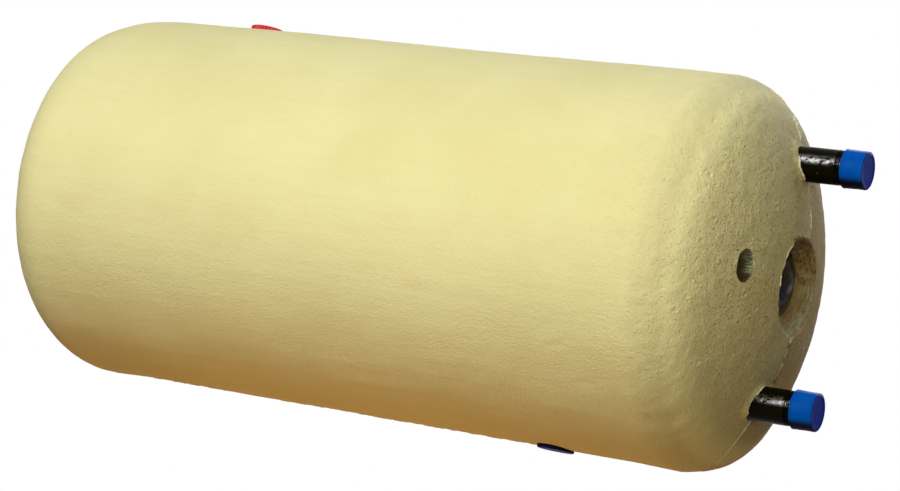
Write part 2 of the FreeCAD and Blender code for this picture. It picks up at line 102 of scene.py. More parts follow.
class Dish:
    """The outline of a dished drum: a pole, a crown arc, a knuckle arc and half of a straight barrel."""

    def __init__(self, radius, pole, crown, knuckle):
        self.radius, self.crown, self.knuckle = radius, crown, knuckle
        self.reach = math.sqrt((crown - knuckle) ** 2 - (radius - knuckle) ** 2)
        self.centre = pole - crown
        self.end = self.centre + self.reach
        self.bend = math.asin((radius - knuckle) / (crown - knuckle))
        self.crown_run = crown * self.bend
        self.run = self.crown_run + knuckle * (math.pi / 2 - self.bend)
        self.whole = 2 * (self.run + self.end)

    def point(self, distance):
        """The (x, radius) at a distance along the outline from the pole at the pipes' end."""
        if distance > self.whole / 2:
            along, radius = self.point(self.whole - distance)
            return -along, radius
        if distance < self.crown_run:
            angle = distance / self.crown
            return self.centre + self.crown * math.cos(angle), self.crown * math.sin(angle)
        if distance < self.run:
            angle = self.bend + (distance - self.crown_run) / self.knuckle
            rise = self.knuckle * math.sin(angle)
            return self.end + self.knuckle * math.cos(angle), self.radius - self.knuckle + rise
        return self.end - (distance - self.run), self.radius

    def distance(self, radius):
        """How far a radius on the crown lies from the pole."""
        return self.crown * math.asin(radius / self.crown)

    def lift(self, flat):
        """Lifts flat (y, z) places to the dished end at the pipes."""
        radius = np.hypot(flat[:, 0], flat[:, 1])
        past = np.maximum(radius - (self.radius - self.knuckle), 0)
        crown = self.centre + arc(self.crown, radius)
        knuckle = self.end + arc(self.knuckle, past)
        return np.column_stack([np.where(radius < self.crown * math.sin(self.bend), crown, knuckle), flat])

    def outside(self, points):
        """How far points lie outside the drum, and the directions that lead straight out of it."""
        along = np.abs(points[:, 0])
        radial = np.maximum(np.hypot(points[:, 1], points[:, 2]), TINY)
        barrel = along <= self.end
        steep = (along - self.centre) * (self.radius - self.knuckle) > radial * self.reach
        crown = ~barrel & steep
        foot_x = np.where(barrel, along, np.where(crown, self.centre, self.end))
        foot_r = np.where(barrel | crown, 0, self.radius - self.knuckle)
        size = np.where(barrel, self.radius, np.where(crown, self.crown, self.knuckle))
        across, rise = along - foot_x, radial - foot_r
        reach = np.maximum(np.hypot(across, rise), TINY)
        slope = rise / reach
        ahead = np.sign(points[:, 0]) * across / reach
        out = [ahead, slope * points[:, 1] / radial, slope * points[:, 2] / radial]
        return reach - size, np.column_stack(out)


SKIN = Dish(RADIUS, POLE, CROWN, KNUCKLE)
INSIDE = Dish(TANK_RADIUS + FIT_GAP, HEAD_POLE + FIT_GAP, HEAD_CROWN + FIT_GAP, HEAD_KNUCKLE + FIT_GAP)


# Camera, lamps, floor and world

CAMERA_PLACE = (1.6295, -2.8282, -0.4231)
CAMERA_HEADING, CAMERA_RISE, CAMERA_ROLL = 29.06, 7.295, 11.75
CAMERA_LENS = 102.85
FLOOR_HEIGHT = -0.60
FLOOR_HALF = 20.0


def put_in(name, data):
    """A new object in the scene that holds this data."""
    made = bpy.data.objects.new(name, data)
    bpy.context.scene.collection.objects.link(made)
    return made


def add_camera():
    """Puts the camera where the photograph was taken from."""
    data = bpy.data.cameras.new("camera")
    data.lens = CAMERA_LENS
    made = put_in("camera", data)
    turn = Matrix.Rotation(math.radians(CAMERA_HEADING), 4, "Z")
    rise = Matrix.Rotation(math.radians(90 + CAMERA_RISE), 4, "X")
    roll = Matrix.Rotation(math.radians(CAMERA_ROLL), 4, "Z")
    made.matrix_world = Matrix.Translation(CAMERA_PLACE) @ turn @ rise @ roll
    bpy.context.scene.camera = made


# Each lamp: name, turn from -Y towards +X and rise in degrees, distance, width, height, watts, colour
LAMPS = [
    ("key", 0, 18, 3.2, 1.5, 1.5, 58.3, (0.97, 1.0, 1.0)),
    ("spark", -12.3, 24, 3.1, 0.24, 0.24, 16.0, (1.0, 0.98, 0.94)),
    ("low_fill", 30, 0, 3.2, 1.8, 2.6, 35.3, (1.0, 0.85, 0.57)),
    ("rear_top", 150, 65, 3.2, 1.6, 1.6, 27.0, (0.80, 0.81, 1.0)),
    ("left_top", -120, 40, 3.2, 1.6, 1.6, 5.0, (0.72, 0.78, 1.0)),
    ("rear", 175, 30, 3.2, 1.8, 1.8, 25.0, (1.0, 0.99, 0.97)),
]
# The glow from below: width, depth, watts, colour
UNDER_GLOW = (1.17, 0.70, 1.10, (1.0, 0.475, 0.088))
UNDER_GLOW_HEIGHT = FLOOR_HEIGHT + 0.01


def area_lamp(name, shape, width, height, watts, colour):
    """An area lamp that the camera doesn't see."""
    data = bpy.data.lights.new(name, "AREA")
    data.shape = shape
    data.size, data.size_y = width, height
    data.energy, data.color = watts, colour
    made = put_in(name, data)
    made.visible_camera = False
    return made


def add_lamp(name, turn, rise, distance, width, height, watts, colour):
    """A rectangular lamp that faces the heater's middle."""
    made = area_lamp(name, "RECTANGLE", width, height, watts, colour)
    turn, rise = math.radians(turn), math.radians(rise)
    level = math.cos(rise)
    away = Vector((math.sin(turn) * level, -math.cos(turn) * level, math.sin(rise)))
    facing = away.to_track_quat("Z", "Y").to_matrix().to_4x4()
    made.matrix_world = Matrix.Translation(away * distance) @ facing


def add_under_glow():
    """A weak orange lamp low under the heater, facing up, for the warm ground close below the foam."""
    made = area_lamp("under_glow", "ELLIPSE", *UNDER_GLOW)
    made.visible_glossy = False
    made.matrix_world = Matrix.Translation((0, 0, UNDER_GLOW_HEIGHT)) @ Matrix.Rotation(math.pi, 4, "X")


def shader(tree, kind, **inputs):
    """A new shader node with some of its inputs set."""
    made = tree.nodes.new("ShaderNode" + kind)
    for key, value in inputs.items():
        made.inputs[key].default_value = value
    return made


def seen_directly(tree):
    """A socket that is 1 for rays from the camera and for rays that a gloss or a glass sends on."""
    path = shader(tree, "LightPath")
    total = path.outputs["Is Camera Ray"]
    for kind in ("Is Glossy Ray", "Is Transmission Ray"):
        plus = shader(tree, "Math")
        plus.operation, plus.use_clamp = "ADD", True
        tree.links.new(total, plus.inputs[0])
        tree.links.new(path.outputs[kind], plus.inputs[1])
        total = plus.outputs[0]
    return total


def split_by_ray(tree, hidden, seen, out):
    """Gives one shader to bounced light, and another where the surface is seen."""
    share = shader(tree, "MixShader")
    tree.links.new(seen_directly(tree), share.inputs[0])
    tree.links.new(hidden.outputs[0], share.inputs[1])
    tree.links.new(seen.outputs[0], share.inputs[2])
    tree.links.new(share.outputs[0], out.inputs["Surface"])


def add_world():
    """White where it is seen, and a faint even light elsewhere."""
    world = bpy.data.worlds.new("world")
    bpy.context.scene.world = world
    world.use_nodes = True
    nodes = world.node_tree.nodes
    dim = nodes["Background"]
    dim.inputs["Color"].default_value = (0.95, 0.97, 1.0, 1)
    dim.inputs["Strength"].default_value = 0.03
    white = shader(world.node_tree, "Background", Color=(1, 1, 1, 1))
    split_by_ray(world.node_tree, dim, white, nodes["World Output"])


def add_floor():
    """A pale floor well under the hanging heater. It sends a warm light back up to the foam."""
    mesh = bpy.data.meshes.new("floor")
    sides = ((-1, -1), (1, -1), (1, 1), (-1, 1))
    corners = [(x * FLOOR_HALF, y * FLOOR_HALF, FLOOR_HEIGHT) for x, y in sides]
    mesh.from_pydata(corners, [], [(0, 1, 2, 3)])
    made = put_in("floor", mesh)
    material = bpy.data.materials.new("floor_paint")
    material.use_nodes = True
    tree = material.node_tree
    tree.nodes.clear()
    warm = shader(tree, "BsdfDiffuse", Color=(0.15, 0.085, 0.030, 1))
    pale = shader(tree, "BsdfDiffuse", Color=(0.9, 0.9, 0.9, 1))
    glow = shader(tree, "Emission", Strength=0.35)
    both = shader(tree, "AddShader")
    tree.links.new(pale.outputs[0], both.inputs[0])
    tree.links.new(glow.outputs[0], both.inputs[1])
    split_by_ray(tree, warm, both, shader(tree, "OutputMaterial"))
    mesh.materials.append(material)


# Materials

class Paint:
    """A node material that is put together from short calls. Places are the object's own coordinates."""

    def __init__(self, name, roughness, specular=0.5, metallic=0.0):
        self.material = bpy.data.materials.new(name)
        self.material.use_nodes = True
        self.tree = self.material.node_tree
        self.shader = self.tree.nodes["Principled BSDF"]
        self.set("Specular IOR Level", specular)
        self.set("Metallic", metallic)
        self.set("Roughness", roughness)
        self.spot = self.node("TexCoord").outputs["Object"]

    def set(self, socket, value):
        """Gives a socket of the main shader a number, a colour or another node's output."""
        self.feed(self.shader.inputs[socket], value)

    def finished(self, tone, normal, roughness=None):
        """The material with its colour, its bump and, where it varies, its roughness."""
        self.set("Base Color", tone)
        self.set("Normal", normal)
        if roughness:
            self.set("Roughness", roughness)
        return self.material

    def feed(self, socket, value):
        """Links an output to a socket, or writes a plain value into it."""
        if isinstance(value, bpy.types.NodeSocket):
            self.tree.links.new(value, socket)
        elif isinstance(value, tuple) and len(value) == 3 and socket.type == "RGBA":
            socket.default_value = (*value, 1)
        else:
            socket.default_value = value

    def node(self, kind, inputs=(), **settings):
        """A new node with its settings, and inputs as pairs of a socket's name or number and a value."""
        made = self.tree.nodes.new("ShaderNode" + kind)
        for key, value in settings.items():
            setattr(made, key, value)
        for key, value in inputs:
            self.feed(made.inputs[key], value)
        return made

    def mapped(self, spot, setting, value):
        """Coordinates that are moved, turned or scaled."""
        return self.node("Mapping", [("Vector", spot), (setting, value)]).outputs[0]

    def clouds(self, spot, size, detail, rough):
        """Cloudy noise from 0 to 1 over some coordinates."""
        inputs = [("Vector", spot), ("Scale", 1 / size), ("Detail", detail), ("Roughness", rough)]
        return self.node("TexNoise", inputs).outputs["Fac"]

    def noise(self, size, detail=2.0, rough=0.5, stretch=None):
        """Cloudy noise with lumps of about this size in metres, drawn out along each axis by its factor."""
        spot = self.spot
        if stretch:
            spot = self.mapped(spot, "Scale", tuple(1 / factor for factor in stretch))
        return self.clouds(spot, size, detail, rough)

    def slanted(self, size, detail, rough, degrees, length):
        """Cloudy noise drawn out into slanting lines across the dished end."""
        turned = self.mapped(self.spot, "Rotation", (math.radians(degrees), 0, 0))
        return self.clouds(self.mapped(turned, "Scale", (1, 1 / length, 1)), size, detail, rough)

    def math(self, operation, first, second=0.0, third=0.0):
        """One operation on up to three values."""
        inputs = [(0, first), (1, second), (2, third)]
        return self.node("Math", inputs, operation=operation).outputs[0]

    def times(self, product, *factors):
        """The product of any number of values."""
        for factor in factors:
            product = self.math("MULTIPLY", product, factor)
        return product

    def plus(self, base, value, factor=1.0):
        """A value times a factor, on top of a base."""
        return self.math("MULTIPLY_ADD", value, factor, base)

    def band(self, value, low, high):
        """A smooth step from 0 at low to 1 at high, or the other way where low is the higher."""
        inputs = [("Value", value), ("From Min", low), ("From Max", high)]
        return self.node("MapRange", inputs, interpolation_type="SMOOTHSTEP").outputs["Result"]

    def ranged(self, value, low, high):
        """A value from 0 to 1, spread from low to high."""
        inputs = [("Value", value), ("To Min", low), ("To Max", high)]
        return self.node("MapRange", inputs).outputs["Result"]

    def blend(self, share, first, second):
        """A mix of two colours."""
        inputs = [(0, share), (6, first), (7, second)]
        return self.node("Mix", inputs, data_type="RGBA").outputs[2]

    def tint(self, tone, *layers):
        """A tone that leans towards each layer's colour in turn, by the product of the layer's shares."""
        for colour, *shares in layers:
            tone = self.blend(self.times(*shares), tone, colour)
        return tone

    def field(self, name):
        """A number that the mesh holds at each of its points."""
        return self.node("Attribute", attribute_name=name).outputs["Fac"]

    def height(self, axis):
        """One of the object's coordinates."""
        return self.node("SeparateXYZ", [(0, self.spot)]).outputs[axis]

    def along(self, axis, low, high):
        """A smooth step along one of the object's axes."""
        return self.band(self.height(axis), low, high)

    def bump(self, height, depth, strength=1.0, under=None):
        """A bump of a height from 0 to 1, this deep in metres, on top of another one if it is given."""
        inputs = [("Height", height), ("Distance", depth), ("Strength", strength)]
        if under:
            inputs.append(("Normal", under))
        return self.node("Bump", inputs).outputs[0]

    def pits(self, size, share, width, shift=None):
        """Small round spots of uneven strength: a share of the cells of this size holds one this wide."""
        spot = self.mapped(self.spot, "Location", shift) if shift else self.spot
        found = self.node("TexVoronoi", [("Vector", spot), ("Scale", 1 / size)], feature="F1")
        draw = self.node("SeparateColor", [(0, found.outputs["Color"])])
        chosen = self.math("LESS_THAN", draw.outputs[0], share)
        strength = self.plus(0.3, draw.outputs[1], 0.7)
        round_spot = self.band(found.outputs["Distance"], width / size, width / size * 0.35)
        return self.times(round_spot, chosen, strength)


PALE_FOAM = (0.845, 0.800, 0.412)
DEEP_FOAM = (0.800, 0.745, 0.365)


def skin_clouds(paint, at_end, fine, streaks):
    """The skin's colour without its small marks: clouds, streaks and blotches, painted shade that makes the
    end browner behind the joint, a painted band of light round the knuckle, and a darker band just before it.
    """
    broad = paint.blend(paint.band(paint.noise(0.16, 3), 0.35, 0.7), PALE_FOAM, DEEP_FOAM)
    return paint.tint(
        broad,
        ((0.78, 0.70, 0.32), paint.band(streaks, 0.45, 0.75), 0.25),
        ((0.72, 0.65, 0.30), paint.band(fine, 0.5, 0.75), 0.22),
        ((0.84, 0.70, 0.34), paint.band(paint.noise(0.034, 3, 0.6), 0.55, 0.75), 0.22),
        ((0.62, 0.55, 0.30), paint.band(paint.noise(0.026, 4, 0.65), 0.50, 0.74), at_end, 0.28),
        # Painted shade: the end is browner behind the joint
        ((0.53, 0.36, 0.14), at_end, paint.along(1, SEAM, SEAM + 0.004), 0.70),
        # Painted light: a paler band round the knuckle
        ((1.0, 0.96, 0.50), paint.along(0, 0.452, 0.468), paint.along(0, 0.489, 0.474), 0.90),
        ((0.68, 0.64, 0.32), paint.along(0, 0.412, 0.432), paint.along(0, 0.460, 0.448), 0.45),
    )


def foam_skin(paint):
    """The skin's colour and the height of its relief, rougher and pitted at the pipes' end, with a painted
    highlight beside each larger pit.
    """
    at_end, near_pole = paint.along(0, 0.33, 0.45), paint.along(0, 0.462, 0.510)
    fine, streaks = paint.noise(0.0024, 3, 0.7), paint.noise(0.010, 3, 0.6, (9, 1, 1))
    thick = paint.plus(paint.plus(0.10, at_end, 0.16), near_pole, 0.65)
    specks = paint.times(paint.pits(0.0095, 0.36, 0.0018), thick)
    dots = paint.times(paint.pits(0.0050, 0.34, 0.0011), thick)
    # Painted highlights: the larger specks moved a little towards +Y and down, where each pit's far wall
    # would catch the light
    rims = paint.times(paint.pits(0.0095, 0.36, 0.0018, (0, -0.0014, 0.0012)), thick)
    crumbs = paint.times(paint.pits(0.0075, 0.38, 0.0017, (0.031, 0.017, 0.023)), near_pole)
    grains = paint.times(paint.pits(0.0034, 0.55, 0.0012, (0.011, 0.007, 0.019)), thick)
    grit = paint.noise(0.0023, 1.0, 0.5)
    grit_share = paint.plus(paint.times(at_end, 0.12), near_pole, 0.50)
    tone = paint.tint(
        skin_clouds(paint, at_end, fine, streaks),
        # painted highlights beside the pits
        ((1.0, 0.96, 0.66), rims, 0.85),
        ((1.0, 0.95, 0.62), crumbs),
        ((0.34, 0.24, 0.10), specks, 0.85),
        ((0.38, 0.26, 0.10), dots),
        ((1.0, 0.97, 0.70), paint.band(grit, 0.60, 0.74), grit_share),
        ((0.42, 0.34, 0.16), paint.band(grit, 0.41, 0.27), grit_share),
    )
    paint.set("Specular IOR Level", paint.plus(0.25, crumbs, 0.6))
    paint.set("Roughness", paint.plus(0.75, crumbs, -0.35))
    low_side = paint.times(paint.along(2, -0.04, -0.20), 0.9)
    crispness = paint.plus(paint.plus(0.30, low_side), near_pole, 0.80)
    peel = paint.times(paint.noise(0.0050, 4, 0.66), paint.plus(0.45, at_end, -0.05))
    relief = paint.plus(paint.times(fine, crispness), peel)
    slant = paint.times(paint.slanted(0.0030, 3, 0.65, 40, 5), at_end)
    layers = ((streaks, 0.28), (slant, 0.45), (grains, 1.6), (crumbs, 2.0), (specks, -1.4), (dots, -1.2))
    for layer, height in layers:
        relief = paint.plus(relief, layer, height)
    return tone, relief


def recess_foam(paint):
    """The colour of the recess's wall: rusty tufts where it is soaked, else stripes, and painted shade deep
    down, lighter below the plug than above it.
    """
    tufts = paint.noise(0.0075, 4, 0.75, (0.35, 1, 1))
    rust = paint.tint(
        paint.blend(paint.band(tufts, 0.36, 0.62), (0.16, 0.100, 0.032), (0.56, 0.41, 0.170)),
        ((0.66, 0.54, 0.30), paint.band(paint.noise(0.016, 3, 0.7), 0.5, 0.66)),
        ((0.17, 0.100, 0.010), paint.along(2, 0.044, 0.052), 0.8),
    )
    near_mouth = paint.along(0, POLE - 0.021, POLE - 0.010)
    plain = paint.tint(
        paint.blend(near_mouth, (0.55, 0.45, 0.24), (0.62, 0.66, 0.45)),
        ((0.40, 0.27, 0.11), paint.band(paint.noise(0.0021, 4, 0.65, (1, 9, 9)), 0.44, 0.60), 0.8),
        ((0.20, 0.11, 0.04), paint.pits(0.0065, 0.5, 0.0016)),
    )
    # Painted shade deep in the throat, lighter below the plug than above it
    throat_shade = paint.blend(paint.along(2, 0.004, -0.014), (0.105, 0.092, 0.042), (0.22, 0.19, 0.080))
    throat = POLE - RECESS_DEPTH
    deep = paint.along(0, throat + 0.0007, throat - 0.0015)
    return paint.tint(plain, (rust, paint.field("rust")), (throat_shade, deep))


def well_foam(paint):
    """The colour of the sensor hole's wall: green and dark flutes, brown low down and painted shade deep
    inside.
    """
    flutes = paint.band(paint.noise(0.0020, 3, 0.7, (9, 1, 1)), 0.44, 0.58)
    deep = paint.along(0, POLE - 0.021, POLE - 0.034)
    return paint.tint(
        paint.blend(flutes, (0.47, 0.53, 0.34), (0.12, 0.11, 0.055)),
        ((0.070, 0.040, 0.012), paint.along(2, SENSOR.z - 0.0035, SENSOR.z - 0.0100)),
        # Painted shade deep inside the hole, apart from near its top
        ((0.09, 0.08, 0.045), deep, paint.along(2, SENSOR.z + 0.0130, SENSOR.z + 0.0060)),
    )


def foam_paint():
    """Pale yellow moulded foam: a dense skin with pits, and brown or greenish raw foam in the hollows."""
    paint = Paint("foam", 0.75, 0.25)
    skin, relief = foam_skin(paint)
    raw = paint.field("raw")
    hollow = paint.blend(paint.field("well"), recess_foam(paint), well_foam(paint))
    # The lip is paler foam along the joint and on the recess's rim, partly a painted highlight where these
    # edges catch the light
    crack, lip = ((0.16, 0.13, 0.065), paint.field("crack")), ((0.97, 0.97, 0.80), paint.field("lip"))
    torn = paint.times(paint.noise(0.0035, 4, 0.75), raw)
    normal = paint.bump(torn, 0.0022, 0.8, paint.bump(relief, 0.0013))
    return paint.finished(paint.tint(skin, crack, lip, (hollow, raw)), normal)


def flash_paint():
    """The thin ragged web of foam that squeezed out at the joint, paler than the skin."""
    paint = Paint("foam_flash", 0.7, 0.3)
    crumbs = paint.band(paint.noise(0.0030, 4, 0.7), 0.42, 0.68)
    tone = paint.blend(crumbs, (0.98, 0.96, 0.82), (0.62, 0.56, 0.36))
    return paint.finished(tone, paint.bump(paint.noise(0.0018, 3, 0.7), 0.0006))


def black_paint():
    """Deep black gloss paint over pipe, with a worn shiny strip along the side that stands out most."""
    paint = Paint("black_gloss", 0.2, 0.02)
    dust = paint.noise(0.004, 4, 0.7)
    tone = paint.blend(paint.band(dust, 0.45, 0.8), (0.0044, 0.0040, 0.0005), (0.0080, 0.0070, 0.0016))
    tone = paint.tint(tone, ((0.42, 0.38, 0.28), paint.pits(0.0075, 0.12, 0.0007)))
    upper, lower = [
        paint.band(paint.math("ABSOLUTE", paint.math("SUBTRACT", paint.height(2), level)), 0.0075, 0.0030)
        for level in (PIPE.z + 0.0025, 0.0045 - PIPE.z)
    ]
    patches = paint.band(paint.noise(0.0060, 3, 0.75, (2.2, 1, 1)), 0.42, 0.52)
    worn = paint.times(paint.math("MAXIMUM", paint.times(upper, 0.55), lower), patches)
    paint.set("Specular IOR Level", paint.plus(0.02, worn, 1.60))
    coarse = paint.bump(paint.noise(0.0060, 3, 0.6), 0.0005)
    normal = paint.bump(paint.noise(0.0018, 2), 0.00010, 1.0, coarse)
    return paint.finished(tone, normal, paint.ranged(dust, 0.17, 0.30))


def plastic_paint(name, light, dark, disc, specular=0.015, lying=False):
    """Thin moulded polythene with slight clouds, fine scuffs and its own tone on the end disc.

    A lying cap is polished along its top and carries painted shade along its underside.
    """
    paint = Paint(name, 0.42, specular)
    clouds, scuffs = paint.noise(0.012, 3), paint.noise(0.0016, 3, 0.7)
    tone = paint.blend(paint.band(clouds, 0.3, 0.7), light, dark)
    tone = paint.tint(tone, (light, paint.band(scuffs, 0.6, 0.85), 0.2))
    if lying:
        level = paint.times(paint.math("SIGN", paint.height(2)), PIPE.z)
        rise = paint.math("SUBTRACT", paint.height(2), level)
        # Painted shade along the underside
        tone = paint.tint(tone, ((0.008, 0.005, 0.024), paint.band(rise, -0.0125, -0.0195)))
        paint.set("Specular IOR Level", paint.plus(specular, paint.band(rise, 0.0182, 0.0208), 0.55))
    tone = paint.tint(tone, (disc, paint.field("disc")))
    return paint.finished(tone, paint.bump(paint.noise(0.003, 3), 0.00012), paint.ranged(scuffs, 0.32, 0.52))


def metal_paint(name, light, dark, roughness, grain=0.004, depth=0.00012):
    """Bare or dulled metal with a mottled tone and a slight grain."""
    paint = Paint(name, roughness, 0.5, 1.0)
    mottle = paint.noise(grain, 4, 0.65)
    tone = paint.blend(paint.band(mottle, 0.3, 0.75), light, dark)
    mottled = paint.ranged(mottle, roughness * 0.7, min(1.0, roughness * 1.4))
    return paint.finished(tone, paint.bump(paint.noise(grain / 3, 3), depth), mottled)


# Where a highlight is painted on the plug, low on its dome
PLUG_HIGHLIGHT_SPOT = (0.5206, -0.0015, -0.0065)


def plug_paint():
    """Dark glossy paint over the plug, browner high up and bluer low down as a painted bluish reflection,
    with a painted highlight low on its dome.
    """
    paint = Paint("plug_black", 0.4, 0.03)
    mottle = paint.noise(0.005, 4, 0.7)
    mottled = paint.band(mottle, 0.4, 0.7)
    brown = paint.blend(mottled, (0.062, 0.050, 0.024), (0.030, 0.024, 0.012))
    # A painted bluish reflection, low on the dome
    blue = paint.blend(mottled, (0.075, 0.075, 0.135), (0.030, 0.028, 0.045))
    spots = [(0, paint.spot), (1, PLUG_HIGHLIGHT_SPOT)]
    from_spot = paint.node("VectorMath", spots, operation="DISTANCE").outputs["Value"]
    # A painted highlight round one spot
    painted_highlight = ((0.38, 0.41, 0.56), paint.band(from_spot, 0.0090, 0.0010), 0.95)
    tone = paint.tint(brown, (blue, paint.along(2, 0.012, -0.016)), painted_highlight)
    return paint.finished(tone, paint.bump(paint.noise(0.003, 3), 0.0002), paint.ranged(mottle, 0.3, 0.5))


def primed_paint(name, light, dark):
    """Steel under a dull primer with a cloudy tone."""
    paint = Paint(name, 0.6, 0.4)
    tone = paint.blend(paint.band(paint.noise(0.03, 4, 0.7), 0.35, 0.7), light, dark)
    roughness = paint.ranged(paint.noise(0.01, 3), 0.45, 0.75)
    return paint.finished(tone, paint.bump(paint.noise(0.002, 3), 0.0002), roughness)


# Mesh tools

def on_circle(angles):
    """Flat places on a circle of radius 1."""
    return np.column_stack([np.cos(angles), np.sin(angles)])


def around(x, radius, angles):
    """Places at some x and radius, turned about the X axis from +Y towards +Z."""
    return np.stack(np.broadcast_arrays(x, radius * np.cos(angles), radius * np.sin(angles)), -1)


def away_from(y, z):
    """How far places lie from a line along X, and the directions away from it."""
    reach = np.maximum(np.hypot(y, z), TINY)
    return reach, np.column_stack([y * 0, y / reach, z / reach])


def even_shares(count):
    """Even steps on from 0, the last of which is 1."""
    return np.linspace(0, 1, count + 1)[1:]


def between(first, last, shares):
    """Rings at these shares of the way from one ring to another."""
    return [first + (last - first) * share for share in shares]


class Net:
    """Points and faces of a mesh that is built from loops of points."""

    def __init__(self):
        self.points, self.faces, self.count = [], [], 0

    def add(self, points):
        """Adds points and returns their numbers."""
        self.points.append(np.asarray(points, float).reshape(-1, 3))
        numbers = np.arange(self.count, self.count + len(self.points[-1]))
        self.count += len(numbers)
        return numbers

    def bridge(self, many, few):
        """Joins two closed loops that run the same way. The first has at least as many points."""
        ratio = len(few) / len(many)
        for index in range(len(many)):
            ahead = (index + 1) % len(many)
            near = int(index * ratio + TINY) % len(few)
            far = int((index + 1) * ratio + TINY) % len(few)
            corners = [many[index], many[ahead], few[far], few[near]]
            self.faces.append(corners[:3] if near == far else corners)

    def tube(self, loop, rings):
        """Carries a loop on through rings of as many points or fewer, and returns the last one's numbers."""
        for ring in rings:
            ahead = self.add(ring)
            self.bridge(loop, ahead)
            loop = ahead
        return loop

    def fan(self, loop, tip):
        """Closes a loop with triangles to one new point."""
        number = self.add([tip])[0]
        for index in range(len(loop)):
            self.faces.append([loop[index], loop[(index + 1) % len(loop)], number])

    def mesh(self, name):
        """The finished mesh."""
        made = bpy.data.meshes.new(name)
        faces = [[int(number) for number in face] for face in self.faces]
        made.from_pydata(np.concatenate(self.points).tolist(), [], faces)
        made.update()
        return made


class Grid:
    """Rows of points turned about the X axis, some blocks of which are left open for holes."""

    def __init__(self, net, profile, turns):
        self.net, self.turns = net, turns
        self.profile = np.array(profile)
        self.spots = around(self.profile[:, :1], self.profile[:, 1:], turns)
        self.numbers = net.add(self.spots).reshape(len(profile), len(turns))
        self.blocks = []

    def open(self, row_places, place, turn, lever, reach):
        """Leaves open the block that holds everything within reach of a place, and returns its edge."""
        order = np.argsort(row_places)
        ranked = np.asarray(row_places)[order]
        before, after = np.searchsorted(ranked, place - reach) - 1, np.searchsorted(ranked, place + reach)
        top, bottom = sorted((order[before], order[after]))
        left = np.searchsorted(self.turns, turn - reach / lever) - 1
        right = np.searchsorted(self.turns, turn + reach / lever)
        self.blocks.append((top, bottom, left, right))
        edge = [(top, column) for column in range(left, right)]
        edge += [(row, right) for row in range(top, bottom)]
        edge += [(bottom, column) for column in range(right, left, -1)]
        edge += [(row, left) for row in range(bottom, top, -1)]
        rows, columns = np.array(edge).T
        return self.numbers[rows, columns], self.spots[rows, columns]

    def cover(self):
        """Makes the faces between the rows, apart from the open blocks."""
        closed = np.ones((len(self.numbers) - 1, len(self.turns)), bool)
        for top, bottom, left, right in self.blocks:
            closed[top:bottom, left:right] = False
        ahead = np.roll(self.numbers, -1, 1)
        quads = np.stack([self.numbers[:-1], ahead[:-1], ahead[1:], self.numbers[1:]], 2)
        self.net.faces.extend(quads[closed].tolist())


# How far the rings on the skin have come from an open block's edge to a hole's rim
SKIN_SHARES = [(step / 5) ** 0.8 for step in range(1, 6)]
PORT_SHARES = (0.35, 0.7, 1.0)
# Two close rings under the rim keep its edge crisp
WALL_SHARES = (0.010, 0.030, *even_shares(14))


class Hole:
    """A hole through the foam, from the outer skin to the cavity. Its flat plane has two axes of the part."""

    def __init__(self, axes, middle, radii, lift, drop, foot=None, foot_radii=None):
        self.axes, self.middle = list(axes), np.array([middle[axis] for axis in axes])
        self.radii, self.lift, self.drop = np.array(radii), lift, drop
        self.foot = self.middle if foot is None else np.array([foot[axis] for axis in axes])
        self.foot_radii = self.radii if foot_radii is None else np.array(foot_radii)

    def sorted_edge(self, edge):
        """An open block's edge by the turn about the hole: its numbers, flat places and even angles."""
        flat = edge[1][:, self.axes] - self.middle
        angles = np.arctan2(flat[:, 1], flat[:, 0])
        order = np.argsort(angles)
        even = 2 * math.pi * np.arange(len(order)) / len(order)
        return edge[0][order], flat[order], even + np.mean(angles[order] - even)

    def lead_in(self, net, edge, shares):
        """Rings on the skin from an open block's edge to the rim: the rim's numbers and its unit circle."""
        numbers, flat, angles = self.sorted_edge(edge)
        circle = on_circle(angles)
        rim = self.radii * circle
        rings = [self.lift(flat * (1 - share) + rim * share + self.middle) for share in shares]
        return net.tube(numbers, rings), circle

    def cut(self, net, outer_edge, inner_edge):
        """Rings from the skin's open block to the rim, then down the wall to the cavity's open block."""
        numbers, circle = self.lead_in(net, outer_edge, SKIN_SHARES)
        top = self.lift(self.radii * circle + self.middle)
        bottom = self.drop(self.foot_radii * circle + self.foot)
        numbers = net.tube(numbers, between(top, bottom, WALL_SHARES))
        net.bridge(numbers, self.sorted_edge(inner_edge)[0])

    def cut_port(self, net, outer_edge, inner_edge, drop):
        """The wide pocket for a heating cap, its flat floor, and the narrower hole that goes on inward."""
        numbers, circle = self.lead_in(net, outer_edge, PORT_SHARES)
        rim, neck = self.radii * circle + self.middle, PIPE_HOLE * circle + self.middle
        floor = self.drop(neck)
        rings = between(self.lift(rim), self.drop(rim), even_shares(8))
        numbers = net.tube(numbers, rings + [floor] + between(floor, drop(neck), even_shares(3)))
        inner = self.sorted_edge(inner_edge)[0]
        if len(numbers) >= len(inner):
            net.bridge(numbers, inner)
        else:
            net.bridge(inner, numbers)


# The foam's smooth form

# Points round the drum, how much they crowd on the camera's side, and points round the cavity
COLUMNS = 600
CROWDING = 0.35
INNER_COLUMNS = 80
# Steps between rows, the radius that all columns start from, the x past which rows widen, and end discs
FINE_STEP, BARREL_STEP, PLAIN_STEP, BLIND_STEP, INNER_STEP = 0.0017, 0.0036, 0.009, 0.006, 0.016
FINE_FROM_RADIUS = 0.100
FINE_BARREL_TO = 0.15
BLIND_DISC = 0.12
INNER_DISC = 0.052
THROAT_STEP = 0.004
# Room that an open block leaves round its hole
BLOCK_MARGIN = 0.005
INNER_MARGIN = 0.004


def turns(count):
    """Angles from +Y towards +Z, closer together on the camera's side."""
    steps = 2 * math.pi * np.arange(count) / count
    return steps + CROWDING * np.sin(steps)


